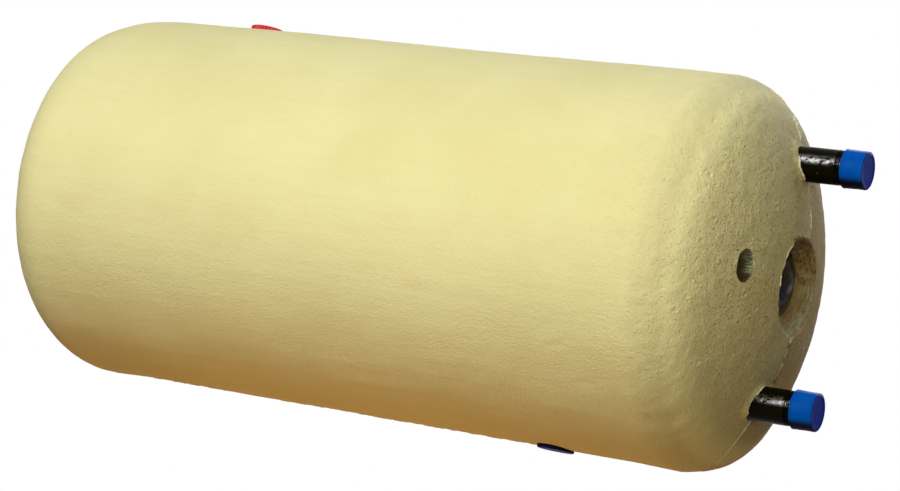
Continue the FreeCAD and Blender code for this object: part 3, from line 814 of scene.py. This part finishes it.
def spread(start, end, step):
    """Evenly spread numbers from start to end, about a step apart."""
    return np.linspace(start, end, max(2, round(abs(end - start) / step) + 1))


def on_barrel(radius, side):
    """Lifts flat (x, y) places to the top or the bottom of a round barrel."""
    return lambda flat: np.column_stack([flat, side * arc(radius, flat[:, 1])])


def on_level(height):
    """Lifts flat (x, y) places to one height."""
    return lambda flat: np.column_stack([flat, np.full(len(flat), height)])


def end_holes():
    """The three holes that run in from the dished end, each with the place of its mouth."""
    found = []
    for node in ("hot_water_stub", "cold_water_stub"):
        place = middle_of(node)
        found.append((place, Hole((1, 2), place, (PIPE_HOLE,) * 2, SKIN.lift, INSIDE.lift)))
    mouth = SENSOR + SENSOR_SHIFT
    well = Hole((1, 2), mouth, SENSOR_MOUTH, SKIN.lift, INSIDE.lift, SENSOR, SENSOR_FOOT)
    found.append((mouth, well))
    return found


def recess_profile():
    """The recess's throat and slanting wall, from the cavity out to the rim."""
    throat = np.array([POLE - RECESS_DEPTH, RECESS_THROAT])
    mouth = np.array([SKIN.point(SKIN.distance(RECESS_MOUTH))[0], RECESS_MOUTH])
    foot = INSIDE.lift(np.array([[RECESS_THROAT, 0]]))[0, 0]
    straight = [(x, RECESS_THROAT) for x in spread(foot, throat[0], THROAT_STEP)]
    return straight + between(throat, mouth, even_shares(21))


def barrel_run():
    """Distances along the outline from the end of the near knuckle to the disc that closes the blind end."""
    fine_to, far_knuckle = SKIN.run + SKIN.end - FINE_BARREL_TO, SKIN.run + 2 * SKIN.end
    return np.concatenate([
        spread(SKIN.run, fine_to, BARREL_STEP)[1:],
        spread(fine_to, far_knuckle, PLAIN_STEP)[1:],
        spread(far_knuckle, SKIN.whole - SKIN.distance(BLIND_DISC), BLIND_STEP)[1:],
    ])


def head_run():
    """Distances along the tank's head, from round the recess's foot to the straight wall."""
    return spread(INSIDE.distance(INNER_DISC), INSIDE.run, INNER_STEP)


def cavity_profile():
    """The outline round tank and jacket, with their gap, from the recess's foot to the blind end."""
    head = [INSIDE.point(distance) for distance in head_run()]
    jacket_end, tank = JACKET_HALF + FIT_GAP, INSIDE.radius
    profile = head + [(x, tank) for x in spread(INSIDE.end, jacket_end, INNER_STEP)[1:]]
    profile += [(x, JACKET_HOLE) for x in spread(jacket_end, -jacket_end, INNER_STEP)]
    profile += [(x, tank) for x in spread(-jacket_end, -INSIDE.end, INNER_STEP)]
    return profile + [(-x, radius) for x, radius in head[-2::-1]]


def cut_end_holes(net, end_grid, end_run, inner_grid):
    """Cuts the holes for both water pipes and for the sensor."""
    near = head_run()
    far = near[-1] + (np.arange(len(inner_grid.profile) - len(near)) + 1.0)
    inner_run = np.concatenate([near, far])
    for place, hole in end_holes():
        radius = math.hypot(place.y, place.z)
        turn = math.atan2(place.z, place.y) % (2 * math.pi)
        reach, inner_reach = max(hole.radii) + BLOCK_MARGIN, max(hole.foot_radii) + INNER_MARGIN
        outer = end_grid.open(end_run, SKIN.distance(radius), turn, radius, reach)
        inner = inner_grid.open(inner_run, INSIDE.distance(radius), turn, radius, inner_reach)
        hole.cut(net, outer, inner)


def cut_port_holes(net, barrel_grid, inner_grid):
    """Cuts the pockets for both heating caps, and the holes that go on inward to the jacket."""
    on_jacket = inner_grid.profile[:, 1] > INSIDE.radius + FIT_GAP
    inner_x = np.where(on_jacket, inner_grid.profile[:, 0], 9 - np.arange(len(on_jacket)))
    for cap, side in HEATING_CAPS:
        place = middle_of(cap)
        turn = math.pi * (1 - side / 2)
        low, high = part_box(cap)
        floor = side * (min(abs(low.z), abs(high.z)) - FIT_GAP)
        pocket = Hole((0, 1), place, (CAP_POCKET,) * 2, on_barrel(RADIUS, side), on_level(floor))
        barrel_x = barrel_grid.profile[:, 0]
        outer = barrel_grid.open(barrel_x, place.x, turn, RADIUS, CAP_POCKET + 2 * BLOCK_MARGIN)
        inner = inner_grid.open(inner_x, place.x, turn, JACKET_HOLE, PIPE_HOLE + INNER_MARGIN)
        pocket.cut_port(net, outer, inner, on_barrel(JACKET_HOLE, side))


def foam_form():
    """The whole lagging as one closed net, before it is parted at the seam."""
    net = Net()
    full, half = turns(COLUMNS), turns(COLUMNS // 2)
    fine_from = SKIN.distance(FINE_FROM_RADIUS)
    centre_run = spread(SKIN.distance(RECESS_MOUTH), fine_from, FINE_STEP)[1:]
    end_run = spread(fine_from, SKIN.run, FINE_STEP)
    centre = Grid(net, recess_profile() + [SKIN.point(distance) for distance in centre_run], half)
    end = Grid(net, [SKIN.point(distance) for distance in end_run], full)
    barrel = Grid(net, [SKIN.point(distance) for distance in barrel_run()], half)
    inner = Grid(net, cavity_profile(), turns(INNER_COLUMNS))
    cut_end_holes(net, end, end_run, inner)
    cut_port_holes(net, barrel, inner)
    net.bridge(centre.numbers[0], inner.numbers[0])
    net.bridge(end.numbers[0], centre.numbers[-1])
    net.bridge(end.numbers[-1], barrel.numbers[0])
    close_pole(net, barrel.numbers[-1], SKIN, BLIND_DISC, BLIND_STEP)
    close_pole(net, inner.numbers[-1], INSIDE, INNER_DISC, INNER_STEP)
    for grid in (centre, end, barrel, inner):
        grid.cover()
    return net


def pole_rings(dish, radius, step, count):
    """Rings from a radius on the blind end in towards its pole. Their points are halved when they crowd."""
    for place in spread(dish.distance(radius), 0, step)[1:-1]:
        if count > 10 and 2 * math.pi * place / count < step / 2:
            count //= 2
        yield around(*dish.point(dish.whole - place), turns(count))


def close_pole(net, loop, dish, radius, step):
    """Closes the blind end, down to one point at the pole."""
    loop = net.tube(loop, pole_rings(dish, radius, step, len(loop)))
    net.fan(loop, (dish.point(dish.whole)[0], 0, 0))


# The foam's worked surface

# Numbers that mix a cell's place and the seed into an even spread of values
CELL_FACTORS = np.array([73856093, 19349663, 83492791])
SEED_FACTOR, SEED_SHIFT = 2654435, 31.7
MIXING = ((13, 1274126177), (15, 2246822519))
LARGEST = 0x7FFFFFFF


def grain(points, size, seed):
    """Smooth noise from -1 to 1 with lumps of about this size, which may differ along each axis."""
    cell = points / np.asarray(size) + seed * SEED_SHIFT
    base = np.floor(cell).astype(np.int64)
    part = cell - base
    part = part * part * (3 - 2 * part)
    total = np.zeros(len(points))
    for corner in itertools.product((0, 1), repeat=3):
        mixed = (base + corner) @ CELL_FACTORS + seed * SEED_FACTOR
        for shift, factor in MIXING:
            mixed = (mixed ^ (mixed >> shift)) * factor & LARGEST
        total += (mixed / (LARGEST // 2) - 1) * np.prod(np.where(corner, part, 1 - part), 1)
    return total


def step_up(value, low, high):
    """A smooth step from 0 at low to 1 at high."""
    share = np.clip((value - low) / (high - low), 0, 1)
    return share * share * (3 - 2 * share)


def bell(value, width):
    """A bell of height 1 about zero, down to about a third at the width."""
    return np.exp(-(value / width) ** 2)


def turn_of(points):
    """The turn of points about the axis, from +Y towards +Z."""
    return np.arctan2(points[:, 2], points[:, 1])


# Each crease on the barrel: x and turn in degrees of both ends, depth and width
CREASES = [
    (0.316, 215, 0.342, 214, 0.0009, 0.0030),
    (0.225, 251, 0.260, 250, 0.0007, 0.0026),
    (0.167, 234, 0.203, 233, 0.0007, 0.0028),
    (0.433, 220, 0.449, 219, 0.0004, 0.0024),
    (0.120, 246, 0.330, 243, 0.0004, 0.0022),
    (0.352, 226, 0.392, 223, 0.0007, 0.0030),
    (-0.395, 205, -0.350, 214, 0.0006, 0.0034),
    (-0.400, 192, -0.345, 196, 0.0005, 0.0034),
]

DENT_SEED, DENT_COUNT = 11, 120
DENT_RADIUS = (0.0017, 0.0030)
# Dents that the photograph shows well: distance along y and z on the dished end, and radius
LARGE_DENTS = (
    (-0.083, 0.074, 0.0030), (-0.196, 0.006, 0.0030), (-0.118, -0.036, 0.0028), (-0.150, 0.095, 0.0026),
)

COLLAR_HEIGHT, COLLAR_WIDTH = 0.0045, 0.0050
# The sensor hole: how far its work reaches from its middle, the x that it starts at, its lip's radius
WELL_REACH, WELL_FROM, WELL_LIP = 0.0225, 0.47, 0.0165


def creases(points):
    """How deep the listed creases are at each point."""
    turn = turn_of(points) % (2 * math.pi)
    depth = np.zeros(len(points))
    for x_from, turn_from, x_to, turn_to, deep, wide in CREASES:
        share = (points[:, 0] - x_from) / (x_to - x_from)
        wander = grain(points, (0.012, 1, 1), 3) * wide
        middle = np.radians(turn_from + (turn_to - turn_from) * np.clip(share, 0, 1))
        off = (turn - middle) * RADIUS + wander
        depth += deep * bell(off, wide) * step_up(share, -0.05, 0.15) * step_up(1 - share, -0.05, 0.15)
    return depth


def dent_places():
    """Middles and radii of the larger dents of the end at the pipes, thickest on its near side."""
    draw = np.random.default_rng(DENT_SEED)
    distance = draw.uniform(SKIN.distance(0.07), SKIN.run + 0.02, DENT_COUNT)
    turn = draw.normal(math.radians(178), math.radians(42), DENT_COUNT)
    profile = np.array([SKIN.point(one) for one in distance])
    smallest, largest = DENT_RADIUS
    radius = draw.uniform(0, 1, DENT_COUNT) ** 2.5 * (largest - smallest) + smallest
    places = around(profile[:, 0], profile[:, 1], turn)
    large = np.array(LARGE_DENTS)
    return np.concatenate([places, SKIN.lift(large[:, :2])]), np.concatenate([radius, large[:, 2]])


def dents(points):
    """How deep the dents are at each point, less their raised rims."""
    depth = np.zeros(len(points))
    for place, radius in zip(*dent_places()):
        near = np.abs(points - place).max(1) < 3 * radius
        if near.any():
            off = np.linalg.norm(points[near] - place, axis=1) / radius
            depth[near] += 0.30 * radius * np.exp(-off ** 2 * 1.4) - 0.10 * radius * bell(off - 1.5, 0.45)
    return depth


def swell(points, rear):
    """How far the moulding bulges out of its true form: mostly along the top, and low on the far side."""
    x, lean = points[:, 0], np.sin(turn_of(points))
    up, down = np.maximum(lean, 0), np.maximum(-lean, 0)
    barrel = step_up(-np.abs(x), -0.42, -0.36)
    rise = up ** 2 * barrel * (0.0006 + 0.0016 * bell(x + 0.20, 0.14))
    rise -= up * 0.0046 * bell(x + 0.437, 0.024) + 0.0015 * down ** 2 * barrel
    if rear:
        rise += 0.0022 * step_up(down, 0.5, 0.9) * step_up(x, 0.43, 0.47)
    return rise


def collar(points):
    """How far the foam stands up round the near side of each water pipe."""
    rise = np.zeros(len(points))
    uneven = 1 + 0.35 * grain(points, 0.008, 24)
    for level in (PIPE.z, -PIPE.z):
        across, away = away_from(points[:, 1] - PIPE.y, points[:, 2] - level)
        near_side = step_up(-away[:, 1], -0.15, 0.75)
        fade = bell(np.maximum(across - PIPE_RADIUS, 0), COLLAR_WIDTH)
        rise += COLLAR_HEIGHT * near_side * uneven * fade
    return rise


# The recess's rim as it was cut: turn in degrees from +Y towards +Z, and millimetres outside the circle
CUT = (
    (-180, -2.4), (-165, -2.5), (-150, -1.2), (-135, 0.8), (-118, 3.4), (-95, 3.4), (-72, 4.3), (-50, 2.8),
    (-25, 3.0), (-5, 1.8), (12, 0.0), (30, -0.5), (50, 0.2), (67, -2.2), (80, -3.8), (92, -4.3), (105, -5.0),
    (118, -2.6), (128, -0.6), (134, -4.2), (146, -2.4), (165, -4.2), (180, -2.4),
)
THROAT_SHIFT = 0.0032


def mouth_shift(points):
    """How far the hand-cut rim of the recess lies outside its round form, by the turn about the axis."""
    return np.interp(np.degrees(turn_of(points)), *zip(*CUT)) / 1000


def shape_recess(points):
    """Moves the recess's rim and wall to the uneven outline of the cut, along the dished end's curve."""
    x, radial = points[:, 0], np.maximum(np.hypot(points[:, 1], points[:, 2]), TINY)
    inward = step_up(radial, RECESS_THROAT, RECESS_MOUTH)
    outward = 1 - step_up(radial, RECESS_MOUTH, RECESS_MOUTH + 0.030)
    throat_x = POLE - RECESS_DEPTH
    at_mouth = step_up(x, throat_x - 0.002, throat_x + 0.002)
    shift = mouth_shift(points) * inward * outward * at_mouth
    far_side = np.maximum(points[:, 1] / radial, 0)
    throat_wall = step_up(x, 0.488, 0.506) * step_up(radial, RECESS_THROAT - 0.002, RECESS_THROAT)
    shift += THROAT_SHIFT * far_side * (1 - inward) * throat_wall
    fresh = radial + shift
    fall = np.where(radial < CROWN / 2, arc(CROWN, fresh) - arc(CROWN, radial), 0)
    ratio = fresh / radial
    return np.column_stack([x + fall * inward * at_mouth, points[:, 1] * ratio, points[:, 2] * ratio])


def rust_share(points):
    """How rusty the torn foam is: all of it high on the far side of the recess, with ragged edges."""
    lean = np.cos(turn_of(points) - math.radians(74))
    ragged = 0.20 * grain(points, 0.0090, 21) + 0.16 * grain(points, 0.0040, 22)
    return step_up(lean - 0.56 + ragged, -0.16, 0.16)


class Foam:
    """What the worked surface of a foam half and its colours follow, at each of the mesh's points."""

    def __init__(self, mesh):
        plain = np.zeros(len(mesh.vertices) * 3)
        mesh.vertices.foreach_get("co", plain)
        plain = plain.reshape(-1, 3)
        self.depth = -SKIN.outside(plain)[0]
        self.skin = step_up(-self.depth, -0.0016, -0.0002)
        self.points = shape_recess(plain)
        self.out = SKIN.outside(self.points)[1]
        off_tank = INSIDE.outside(self.points)[0]
        self.in_foam = step_up(self.depth, 0.0008, 0.003) * step_up(off_tank, 0.002, 0.006)
        self.x, self.y, self.z = self.points.T
        self.at_end = step_up(self.x, 0.36, 0.45)
        self.seam_off = np.abs(self.y - SEAM)
        self.near_seam = bell(self.seam_off, 0.0024)
        self.radial, self.away = away_from(self.y, self.z)
        self.from_rim = self.radial - RECESS_MOUTH - mouth_shift(self.points)
        self.at_dome = step_up(self.x, 0.515, 0.52)
        self.rim = bell(self.from_rim, 0.0024) * self.at_dome
        self.rust = rust_share(self.points)
        middle = SENSOR + SENSOR_SHIFT
        self.across, self.from_well = away_from(self.y - middle.y, self.z - middle.z)
        self.in_well = (self.across < WELL_REACH) * (self.x > WELL_FROM)

    def grain(self, size, seed):
        """Smooth noise at the points."""
        return grain(self.points, size, seed)


def skin_move(at, rear):
    """How far the skin moves out: lumps, streaks, swells, collars, creases, dents and the joint's groove."""
    points, at_end = at.points, at.at_end
    move = 0.0007 * at.grain(0.11, 1) + 0.00025 * at.grain((0.12, 0.016, 0.016), 2)
    move += 0.00035 * at.grain((0.034, 0.030, 0.030), 15)
    move += 0.00028 * at.grain(0.012, 4) * (0.5 + at_end) + 0.00018 * at.grain(0.0055, 5) * (0.3 + at_end)
    move += swell(points, rear) + collar(points) * at_end - creases(points) - dents(points)
    chips = np.maximum(0, at.grain((0.004, 1, 0.004), 6)) * 0.0016
    move -= at.near_seam * (0.0005 + chips) * (0.35 + 0.65 * at_end)
    if rear:
        move -= (0.0014 * bell(at.seam_off, 0.03) + 0.0002) * at_end
    return move * at.skin


def recess_move(at):
    """How far the recess's wall and rim move away from the axis: torn tufts, fine grooves, a ragged rim."""
    wall = at.in_foam * step_up(at.x, 0.48, 0.486) * step_up(-at.from_rim, -0.005, -0.001)
    wall *= step_up(-at.radial, -0.080, -0.074)
    torn = (0.0010 + 0.0012 * at.rust) * (at.grain(0.0060, 7) + 0.7 * at.grain(0.0028, 8))
    torn += 0.0006 * np.sin(at.x * 2 * math.pi / 0.0042) * (1 - at.rust)
    ragged = 0.0015 * at.grain(0.0050, 9) + 0.0011 * at.grain(0.0024, 10)
    return torn * wall + ragged * at.rim * (1 + 0.7 * at.rust)


def well_move(at):
    """How far the sensor hole's wall moves away from the hole's middle, in flutes along it."""
    turn = np.arctan2(at.from_well[:, 2], at.from_well[:, 1])
    ribs = np.column_stack([at.x / 0.02, turn / 0.16, turn * 0])
    groove = 0.0009 * grain(ribs, 1.0, 12) + 0.0004 * at.grain(0.0025, 13)
    return groove * at.in_foam * at.in_well


def foam_fields(at):
    """What the paint reads: raw and rusty foam, the sensor hole's wall, pale lips that are partly a painted
    highlight, and dark cracks, which also darken the collars round the pipes.
    """
    spill = at.rust * bell(np.maximum(at.from_rim, 0), 0.0046) * at.at_dome
    tufted = spill + 0.40 * at.grain(0.0042, 17) + 0.25 * at.grain(0.0022, 18)
    spilt = step_up(tufted, 0.45, 0.75) * step_up(spill, 0.02, 0.1)
    in_mouth = at.in_well * step_up(at.depth, 0.0001, 0.0006)
    raw = np.maximum(np.maximum(step_up(at.depth, 0.0006, 0.0022), spilt), in_mouth)
    well = np.maximum(at.in_foam * at.in_well, in_mouth)
    patchy = at.grain((0.009, 1, 0.009), 14)
    end_seam = at.at_end * step_up(at.z, -0.19, -0.15)
    # Painted highlight: the recess's rim is paler on the arc that faces the light
    highlight_arc = 1 - step_up(-np.cos(turn_of(at.points) - math.radians(158)), -0.99, -0.80)
    # The pale lip along the joint is partly a painted highlight where its edge catches the light
    lip = at.near_seam * end_seam * (0.25 + 1.3 * patchy) + 0.8 * at.rim * at.skin * highlight_arc
    gape = 0.0016 + 0.0030 * step_up(-at.z, 0.045, 0.062)
    crack = bell(at.seam_off, gape) * end_seam * np.clip(0.30 - 1.6 * patchy, 0, 1) * at.skin
    # Darker grey on the collars round the pipes, stronger higher up
    collar_dark = np.clip(0.48 + 0.35 * at.grain((0.004, 0.004, 0.012), 19), 0, 0.8)
    collar_dark *= collar(at.points) / COLLAR_HEIGHT * at.at_end * (0.4 + 0.6 * step_up(at.z, 0, 0.1))
    return {
        "raw": raw, "rust": at.rust * (1 - well), "well": well,
        "lip": np.clip(lip, 0, 1), "crack": np.maximum(crack, collar_dark),
    }


def dress_foam(mesh, rear):
    """Works the surface of one half, and stores with it what its paint reads."""
    at = Foam(mesh)
    spots = at.points + at.out * skin_move(at, rear)[:, None]
    spots += at.away * recess_move(at)[:, None]
    spots += at.from_well * well_move(at)[:, None]
    lip = bell(at.across - WELL_LIP, 0.004) * at.at_end * at.skin
    spots[:, 0] += 0.0005 * lip * at.grain(0.004, 16)
    mesh.vertices.foreach_set("co", spots.astype(np.float32).ravel())
    for name, values in foam_fields(at).items():
        layer = mesh.attributes.new(name, "FLOAT", "POINT")
        layer.data.foreach_set("value", values.astype(np.float32))
    mesh.update()


def soft_object(mesh, material, degrees):
    """An object with smooth shading, sharp only where faces turn by more than these degrees."""
    mesh.shade_smooth()
    mesh.set_sharp_from_angle(angle=math.radians(degrees))
    mesh.materials.append(material)
    return put_in(mesh.name, mesh)


def foam_half(name, whole, rear, material):
    """Parts the whole lagging at the seam, keeps one half, closes it and works its surface."""
    net = bmesh.new()
    net.from_mesh(whole)
    bmesh.ops.recalc_face_normals(net, faces=net.faces)
    bmesh.ops.bisect_plane(
        net, geom=net.verts[:] + net.edges[:] + net.faces[:], plane_co=(0, SEAM, 0), plane_no=(0, 1, 0),
        clear_outer=not rear, clear_inner=rear,
    )
    open_edges = [edge for edge in net.edges if edge.is_boundary]
    closed = bmesh.ops.holes_fill(net, edges=open_edges, sides=0)
    bmesh.ops.triangulate(net, faces=closed["faces"])
    mesh = bpy.data.meshes.new(name)
    net.to_mesh(mesh)
    net.free()
    dress_foam(mesh, rear)
    return soft_object(mesh, material, 55)


def add_foam():
    """Both foam halves, in place of the plain ones."""
    whole = foam_form().mesh("lagging")
    material = foam_paint()
    for node, rear in (("insulation_front_half", False), ("insulation_rear_half", True)):
        made = foam_half(node.replace("insulation", "lagging"), whole, rear, material)
        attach(made, "heater")
        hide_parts(node)
    bpy.data.meshes.remove(whole)


# The ragged web of foam along the joint and round the holes

# The web: its step, how deep its foot lies, and its height where it is broken away
FLASH_STEP = 0.0015
FLASH_SINK = 0.0030
FLASH_DIP = -0.0012
# The ridge's section: place across it, share of its height, fixed rise
RIDGE = ((-1.0, 0, -0.0006), (-0.45, 1.0, 0), (0.40, 0.85, 0), (1.0, 0, -0.0006), (0.0, 0, -FLASH_SINK))


def ribbon(net, path, closed, width, height, seed, whole=0.55):
    """A thin ragged ridge along a path on the skin. It dips under the skin where its height is below zero."""
    ahead, behind = np.roll(path, -1, 0), np.roll(path, 1, 0)
    if not closed:
        ahead[-1], behind[0] = path[-1], path[0]
    _, out = SKIN.outside(path)
    side = np.cross(ahead - behind, out)
    side /= np.linalg.norm(side, axis=1)[:, None]
    wide = width * (0.75 + 0.45 * grain(path, 0.0050, seed) + 0.30 * grain(path, 0.0022, seed + 1))
    tall = height * (whole + 0.85 * grain(path, 0.0075, seed + 2) + 0.45 * grain(path, 0.0026, seed + 3))
    tall = np.clip(tall, FLASH_DIP, height * 1.2)
    sway = width * 0.5 * grain(path, 0.0090, seed + 4)
    count = len(path)
    if not closed:
        rank = np.arange(count)
        tall = np.where(np.minimum(rank, rank[::-1]) < 3, FLASH_DIP, tall)
    rings = [
        path + side * (wide * across + sway)[:, None] + out * (tall * share + rise)[:, None]
        for across, share, rise in RIDGE
    ]
    numbers = net.add(np.stack(rings, 1)).reshape(count, len(RIDGE))
    beside = np.roll(numbers, -1, 1)
    for index in range(count if closed else count - 1):
        onward = (index + 1) % count
        quads = np.stack([numbers[index], beside[index], beside[onward], numbers[onward]], 1)
        net.faces.extend(quads.tolist())
    if not closed:
        net.faces.extend([list(numbers[0][::-1]), list(numbers[-1])])


def seam_path(start, stop, side):
    """Places along the joint between two distances from the pole, above (side 1) or below (side -1)."""
    profile = np.array([SKIN.point(one) for one in spread(start, stop, FLASH_STEP)])
    height = side * np.sqrt(profile[:, 1] ** 2 - SEAM ** 2)
    path = np.column_stack([profile[:, 0], np.full(len(profile), SEAM), height])
    _, out = SKIN.outside(path)
    return path + out * (swell(path, False) - 0.0004)[:, None]


def ring_path(middle, radius):
    """Places round a pipe's hole, on the dished end and its collar."""
    count = round(radius * 2 * math.pi / FLASH_STEP)
    angles = np.linspace(0, 2 * math.pi, count, endpoint=False)
    ring = SKIN.lift(middle + radius * on_circle(angles))
    ring[:, 0] += collar(ring)
    return ring


def rim_path():
    """Places along the near part of the recess's rim."""
    turn = np.radians(np.linspace(122, 196, 60))
    radius = RECESS_MOUTH + 0.0006 + mouth_shift(around(0, 1, turn))
    return SKIN.lift(radius[:, None] * on_circle(turn))


def seam_runs(side, cap):
    """The ridges along the joint on one side: start, stop, width, height, seed, and how whole they are."""
    level, dip = abs(PIPE.z), math.sqrt(PIPE_HOLE ** 2 - SEAM ** 2)
    pocket = math.sqrt(CAP_POCKET ** 2 - SEAM ** 2) + 0.001
    inner = SKIN.distance(math.hypot(level - dip, SEAM)) - 0.001
    outer = SKIN.distance(math.hypot(level + dip, SEAM)) + 0.001
    cap_run = SKIN.run + SKIN.end - middle_of(cap).x
    end_height, barrel_height = (0.0034, 0.0052) if side > 0 else (0.0013, 0.0007)
    return (
        (SKIN.distance(RECESS_MOUTH + 0.004), inner, 0.0008, 0.0013, 40, 0.25),
        (outer, SKIN.crown_run, 0.0016, end_height, 50, 0.8),
        (SKIN.crown_run + 0.002, SKIN.run + 0.02, 0.0014, 0.0012, 54, 0.55),
        (SKIN.run + 0.025, cap_run - pocket, 0.0015, barrel_height, 60, 0.55),
        (cap_run + pocket, SKIN.whole / 2 + 0.42, 0.0013, 0.0009, 70, 0.55),
    )


def add_flash(material):
    """The web that stands out of the joint, of the pipes' holes and of the recess's near rim."""
    net = Net()
    for cap, side in HEATING_CAPS:
        for start, stop, width, height, seed, whole in seam_runs(side, cap):
            ribbon(net, seam_path(start, stop, side), False, width, height, seed + side, whole)
        ring = ring_path(np.array([PIPE.y, side * PIPE.z]), PIPE_HOLE + 0.0010)
        ribbon(net, ring, True, 0.0009, 0.0013, 80 + side)
    ribbon(net, rim_path(), False, 0.0006, 0.0011, 90, 0.45)
    made = soft_object(net.mesh("foam_flash"), material, 60)
    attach(made, "heater")


# Caps

CAP_LIP, CAP_LIP_LENGTH = 0.0005, 0.0022
CAP_EDGE = 0.0014
CAP_PLAY, CAP_THICKNESS, CAP_SUNK = 0.0004, 0.002, 0.0004
RIBS, RIB_DEPTH = 36, 0.0009
CAPS = {
    "hot_water_cap": ("hot_cap", "cap_blue", (1, 0, 0), False),
    "cold_water_cap": ("cold_cap", "cap_blue", (1, 0, 0), False),
    "heating_supply_cap": ("supply_cap", "cap_red", (0, 0, 1), True),
    "heating_return_cap": ("return_cap", "cap_navy", (0, 0, -1), True),
}


def cap_rows(length):
    """The cap's section from the middle of its inside to the middle of its outside: height, radius, rib."""
    radius, bore, wall = CAP_RADIUS, PIPE_RADIUS + CAP_PLAY, CAP_RADIUS - CAP_LIP
    rows = [(length - CAP_THICKNESS, bore * share, 0) for share in (0.5, 0.98)]
    rows += [(length * share, bore, 0) for share in (0.9, 0.6, 0.3, 0.0)]
    rows += [(0.0, radius - 0.0004, 0), (0.0004, radius, 0), (CAP_LIP_LENGTH - 0.0003, radius, 0)]
    rows += [(CAP_LIP_LENGTH, wall + 0.0001, 0), (CAP_LIP_LENGTH + 0.0006, wall, 0.5)]
    for share in (0.2, 0.35, 0.5, 0.65, 0.8):
        rows.append((length * share, wall + 0.0002 * math.sin(share * 7), 1))
    rows += [(length - 2 * CAP_EDGE, wall, 1)]
    for degrees in (0, 25, 50, 70, 90):
        turn = math.radians(degrees)
        height = length - CAP_EDGE * (1 - math.sin(turn))
        rows.append((height, wall - CAP_EDGE * (1 - math.cos(turn)), 1 - degrees / 90))
    rows += [(length, wall - 2.2 * CAP_EDGE, 0), (length - 0.0003, wall - 2.8 * CAP_EDGE, 0)]
    return rows + [(length - CAP_SUNK, wall * share, 0) for share in (0.7, 0.4, 0.15)]


def cap_net(length, ribbed):
    """A cap that stands on its open end."""
    count = RIBS * 8 if ribbed else 128
    angles = 2 * math.pi * np.arange(count) / count
    flutes = RIB_DEPTH * ribbed * (0.5 + 0.5 * np.cos(angles * RIBS)) ** 0.6
    rings = [
        np.column_stack([(radius - flutes * rib)[:, None] * on_circle(angles), np.full(count, height)])
        for height, radius, rib in cap_rows(length)
    ]
    net = Net()
    first = net.add(rings[0])
    last = net.tube(first, rings[1:])
    net.fan(first[::-1], (0, 0, length - CAP_THICKNESS))
    net.fan(last, (0, 0, length - CAP_SUNK))
    return net


def add_cap(node, body, slot, axis, ribbed, material):
    """One thin moulded cap with a lip, a rounded edge, a slightly sunk end and, if ribbed, a fluted side."""
    low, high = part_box(node)
    axis = Vector(axis)
    length = abs((high - low).dot(axis))
    mesh = cap_net(length, ribbed).mesh(node.replace("_cap", "_push_cap"))
    flat_radius = CAP_RADIUS - CAP_LIP - 2 * CAP_EDGE
    on_disc = [float(spot.co.z > length / 2 and spot.co.xy.length < flat_radius) for spot in mesh.vertices]
    mesh.attributes.new("disc", "FLOAT", "POINT").data.foreach_set("value", on_disc)
    turned = axis.to_track_quat("Z", "Y").to_matrix().to_4x4()
    mesh.transform(Matrix.Translation(middle_of(node) - axis * length / 2) @ turned)
    shape = bmesh.new()
    shape.from_mesh(mesh)
    bmesh.ops.recalc_face_normals(shape, faces=shape.faces)
    shape.to_mesh(mesh)
    shape.free()
    made = soft_object(mesh, material, 50)
    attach(made, body)
    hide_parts(node)


def add_caps():
    """All four caps, each in place of its plain one."""
    blue = ((0.001, 0.095, 0.48), (0.001, 0.078, 0.43), (0.010, 0.048, 0.78))
    red = ((0.60, 0.007, 0.006), (0.48, 0.005, 0.004), (0.56, 0.008, 0.006))
    navy = ((0.014, 0.014, 0.12), (0.009, 0.009, 0.08), (0.012, 0.012, 0.10))
    paints = {
        "cap_blue": plastic_paint("blue_cap", *blue, lying=True),
        "cap_red": plastic_paint("red_cap", *red, specular=0.35),
        "cap_navy": plastic_paint("navy_cap", *navy),
    }
    for node, (body, slot, axis, ribbed) in CAPS.items():
        add_cap(node, body, slot, axis, ribbed, paints[slot])


def paint_nodes():
    """Gives every piece that stays as it was built its own material."""
    steel = primed_paint("primed_steel", (0.10, 0.085, 0.07), (0.05, 0.04, 0.035))
    jacket = primed_paint("primed_jacket", (0.22, 0.055, 0.03), (0.12, 0.03, 0.02))
    tube = metal_paint("galvanised_tube", (0.62, 0.63, 0.65), (0.42, 0.43, 0.45), 0.4)
    brass = metal_paint("pocket_brass", (0.60, 0.42, 0.18), (0.40, 0.26, 0.10), 0.35)
    anode = metal_paint("cast_anode", (0.55, 0.55, 0.53), (0.35, 0.35, 0.34), 0.6, 0.005, 0.0003)
    rubber = plastic_paint("gasket_rubber", (0.03, 0.03, 0.03), (0.012, 0.012, 0.012), (0.03, 0.03, 0.03))
    chosen = (
        (steel, ("tank_shell", "tank_head_connection_end", "tank_head_blind_end")),
        (steel, ("sensor_socket", "anode_socket")),
        (jacket, ("jacket_shell", "jacket_ring_connection_end", "jacket_ring_blind_end")),
        (black_paint(), ("hot_water_stub", "cold_water_stub", "heating_supply_stub", "heating_return_stub")),
        (tube, ("hot_draw_off_tube", "cold_inlet_tube", "cold_tube_end_disc", "anode_core")),
        (brass, ("sensor_pocket",)),
        (rubber, ("anode_gasket",)),
        (plug_paint(), ("anode_plug",)),
        (anode, ("anode_rod",)),
    )
    for material, nodes in chosen:
        for node in nodes:
            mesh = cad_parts[node].data
            mesh.materials.clear()
            mesh.materials.append(material)


bpy.context.scene.view_settings.view_transform = "Standard"
add_camera()
for lamp in LAMPS:
    add_lamp(*lamp)
add_world()
add_under_glow()
add_floor()
add_foam()
add_flash(flash_paint())
add_caps()
paint_nodes()
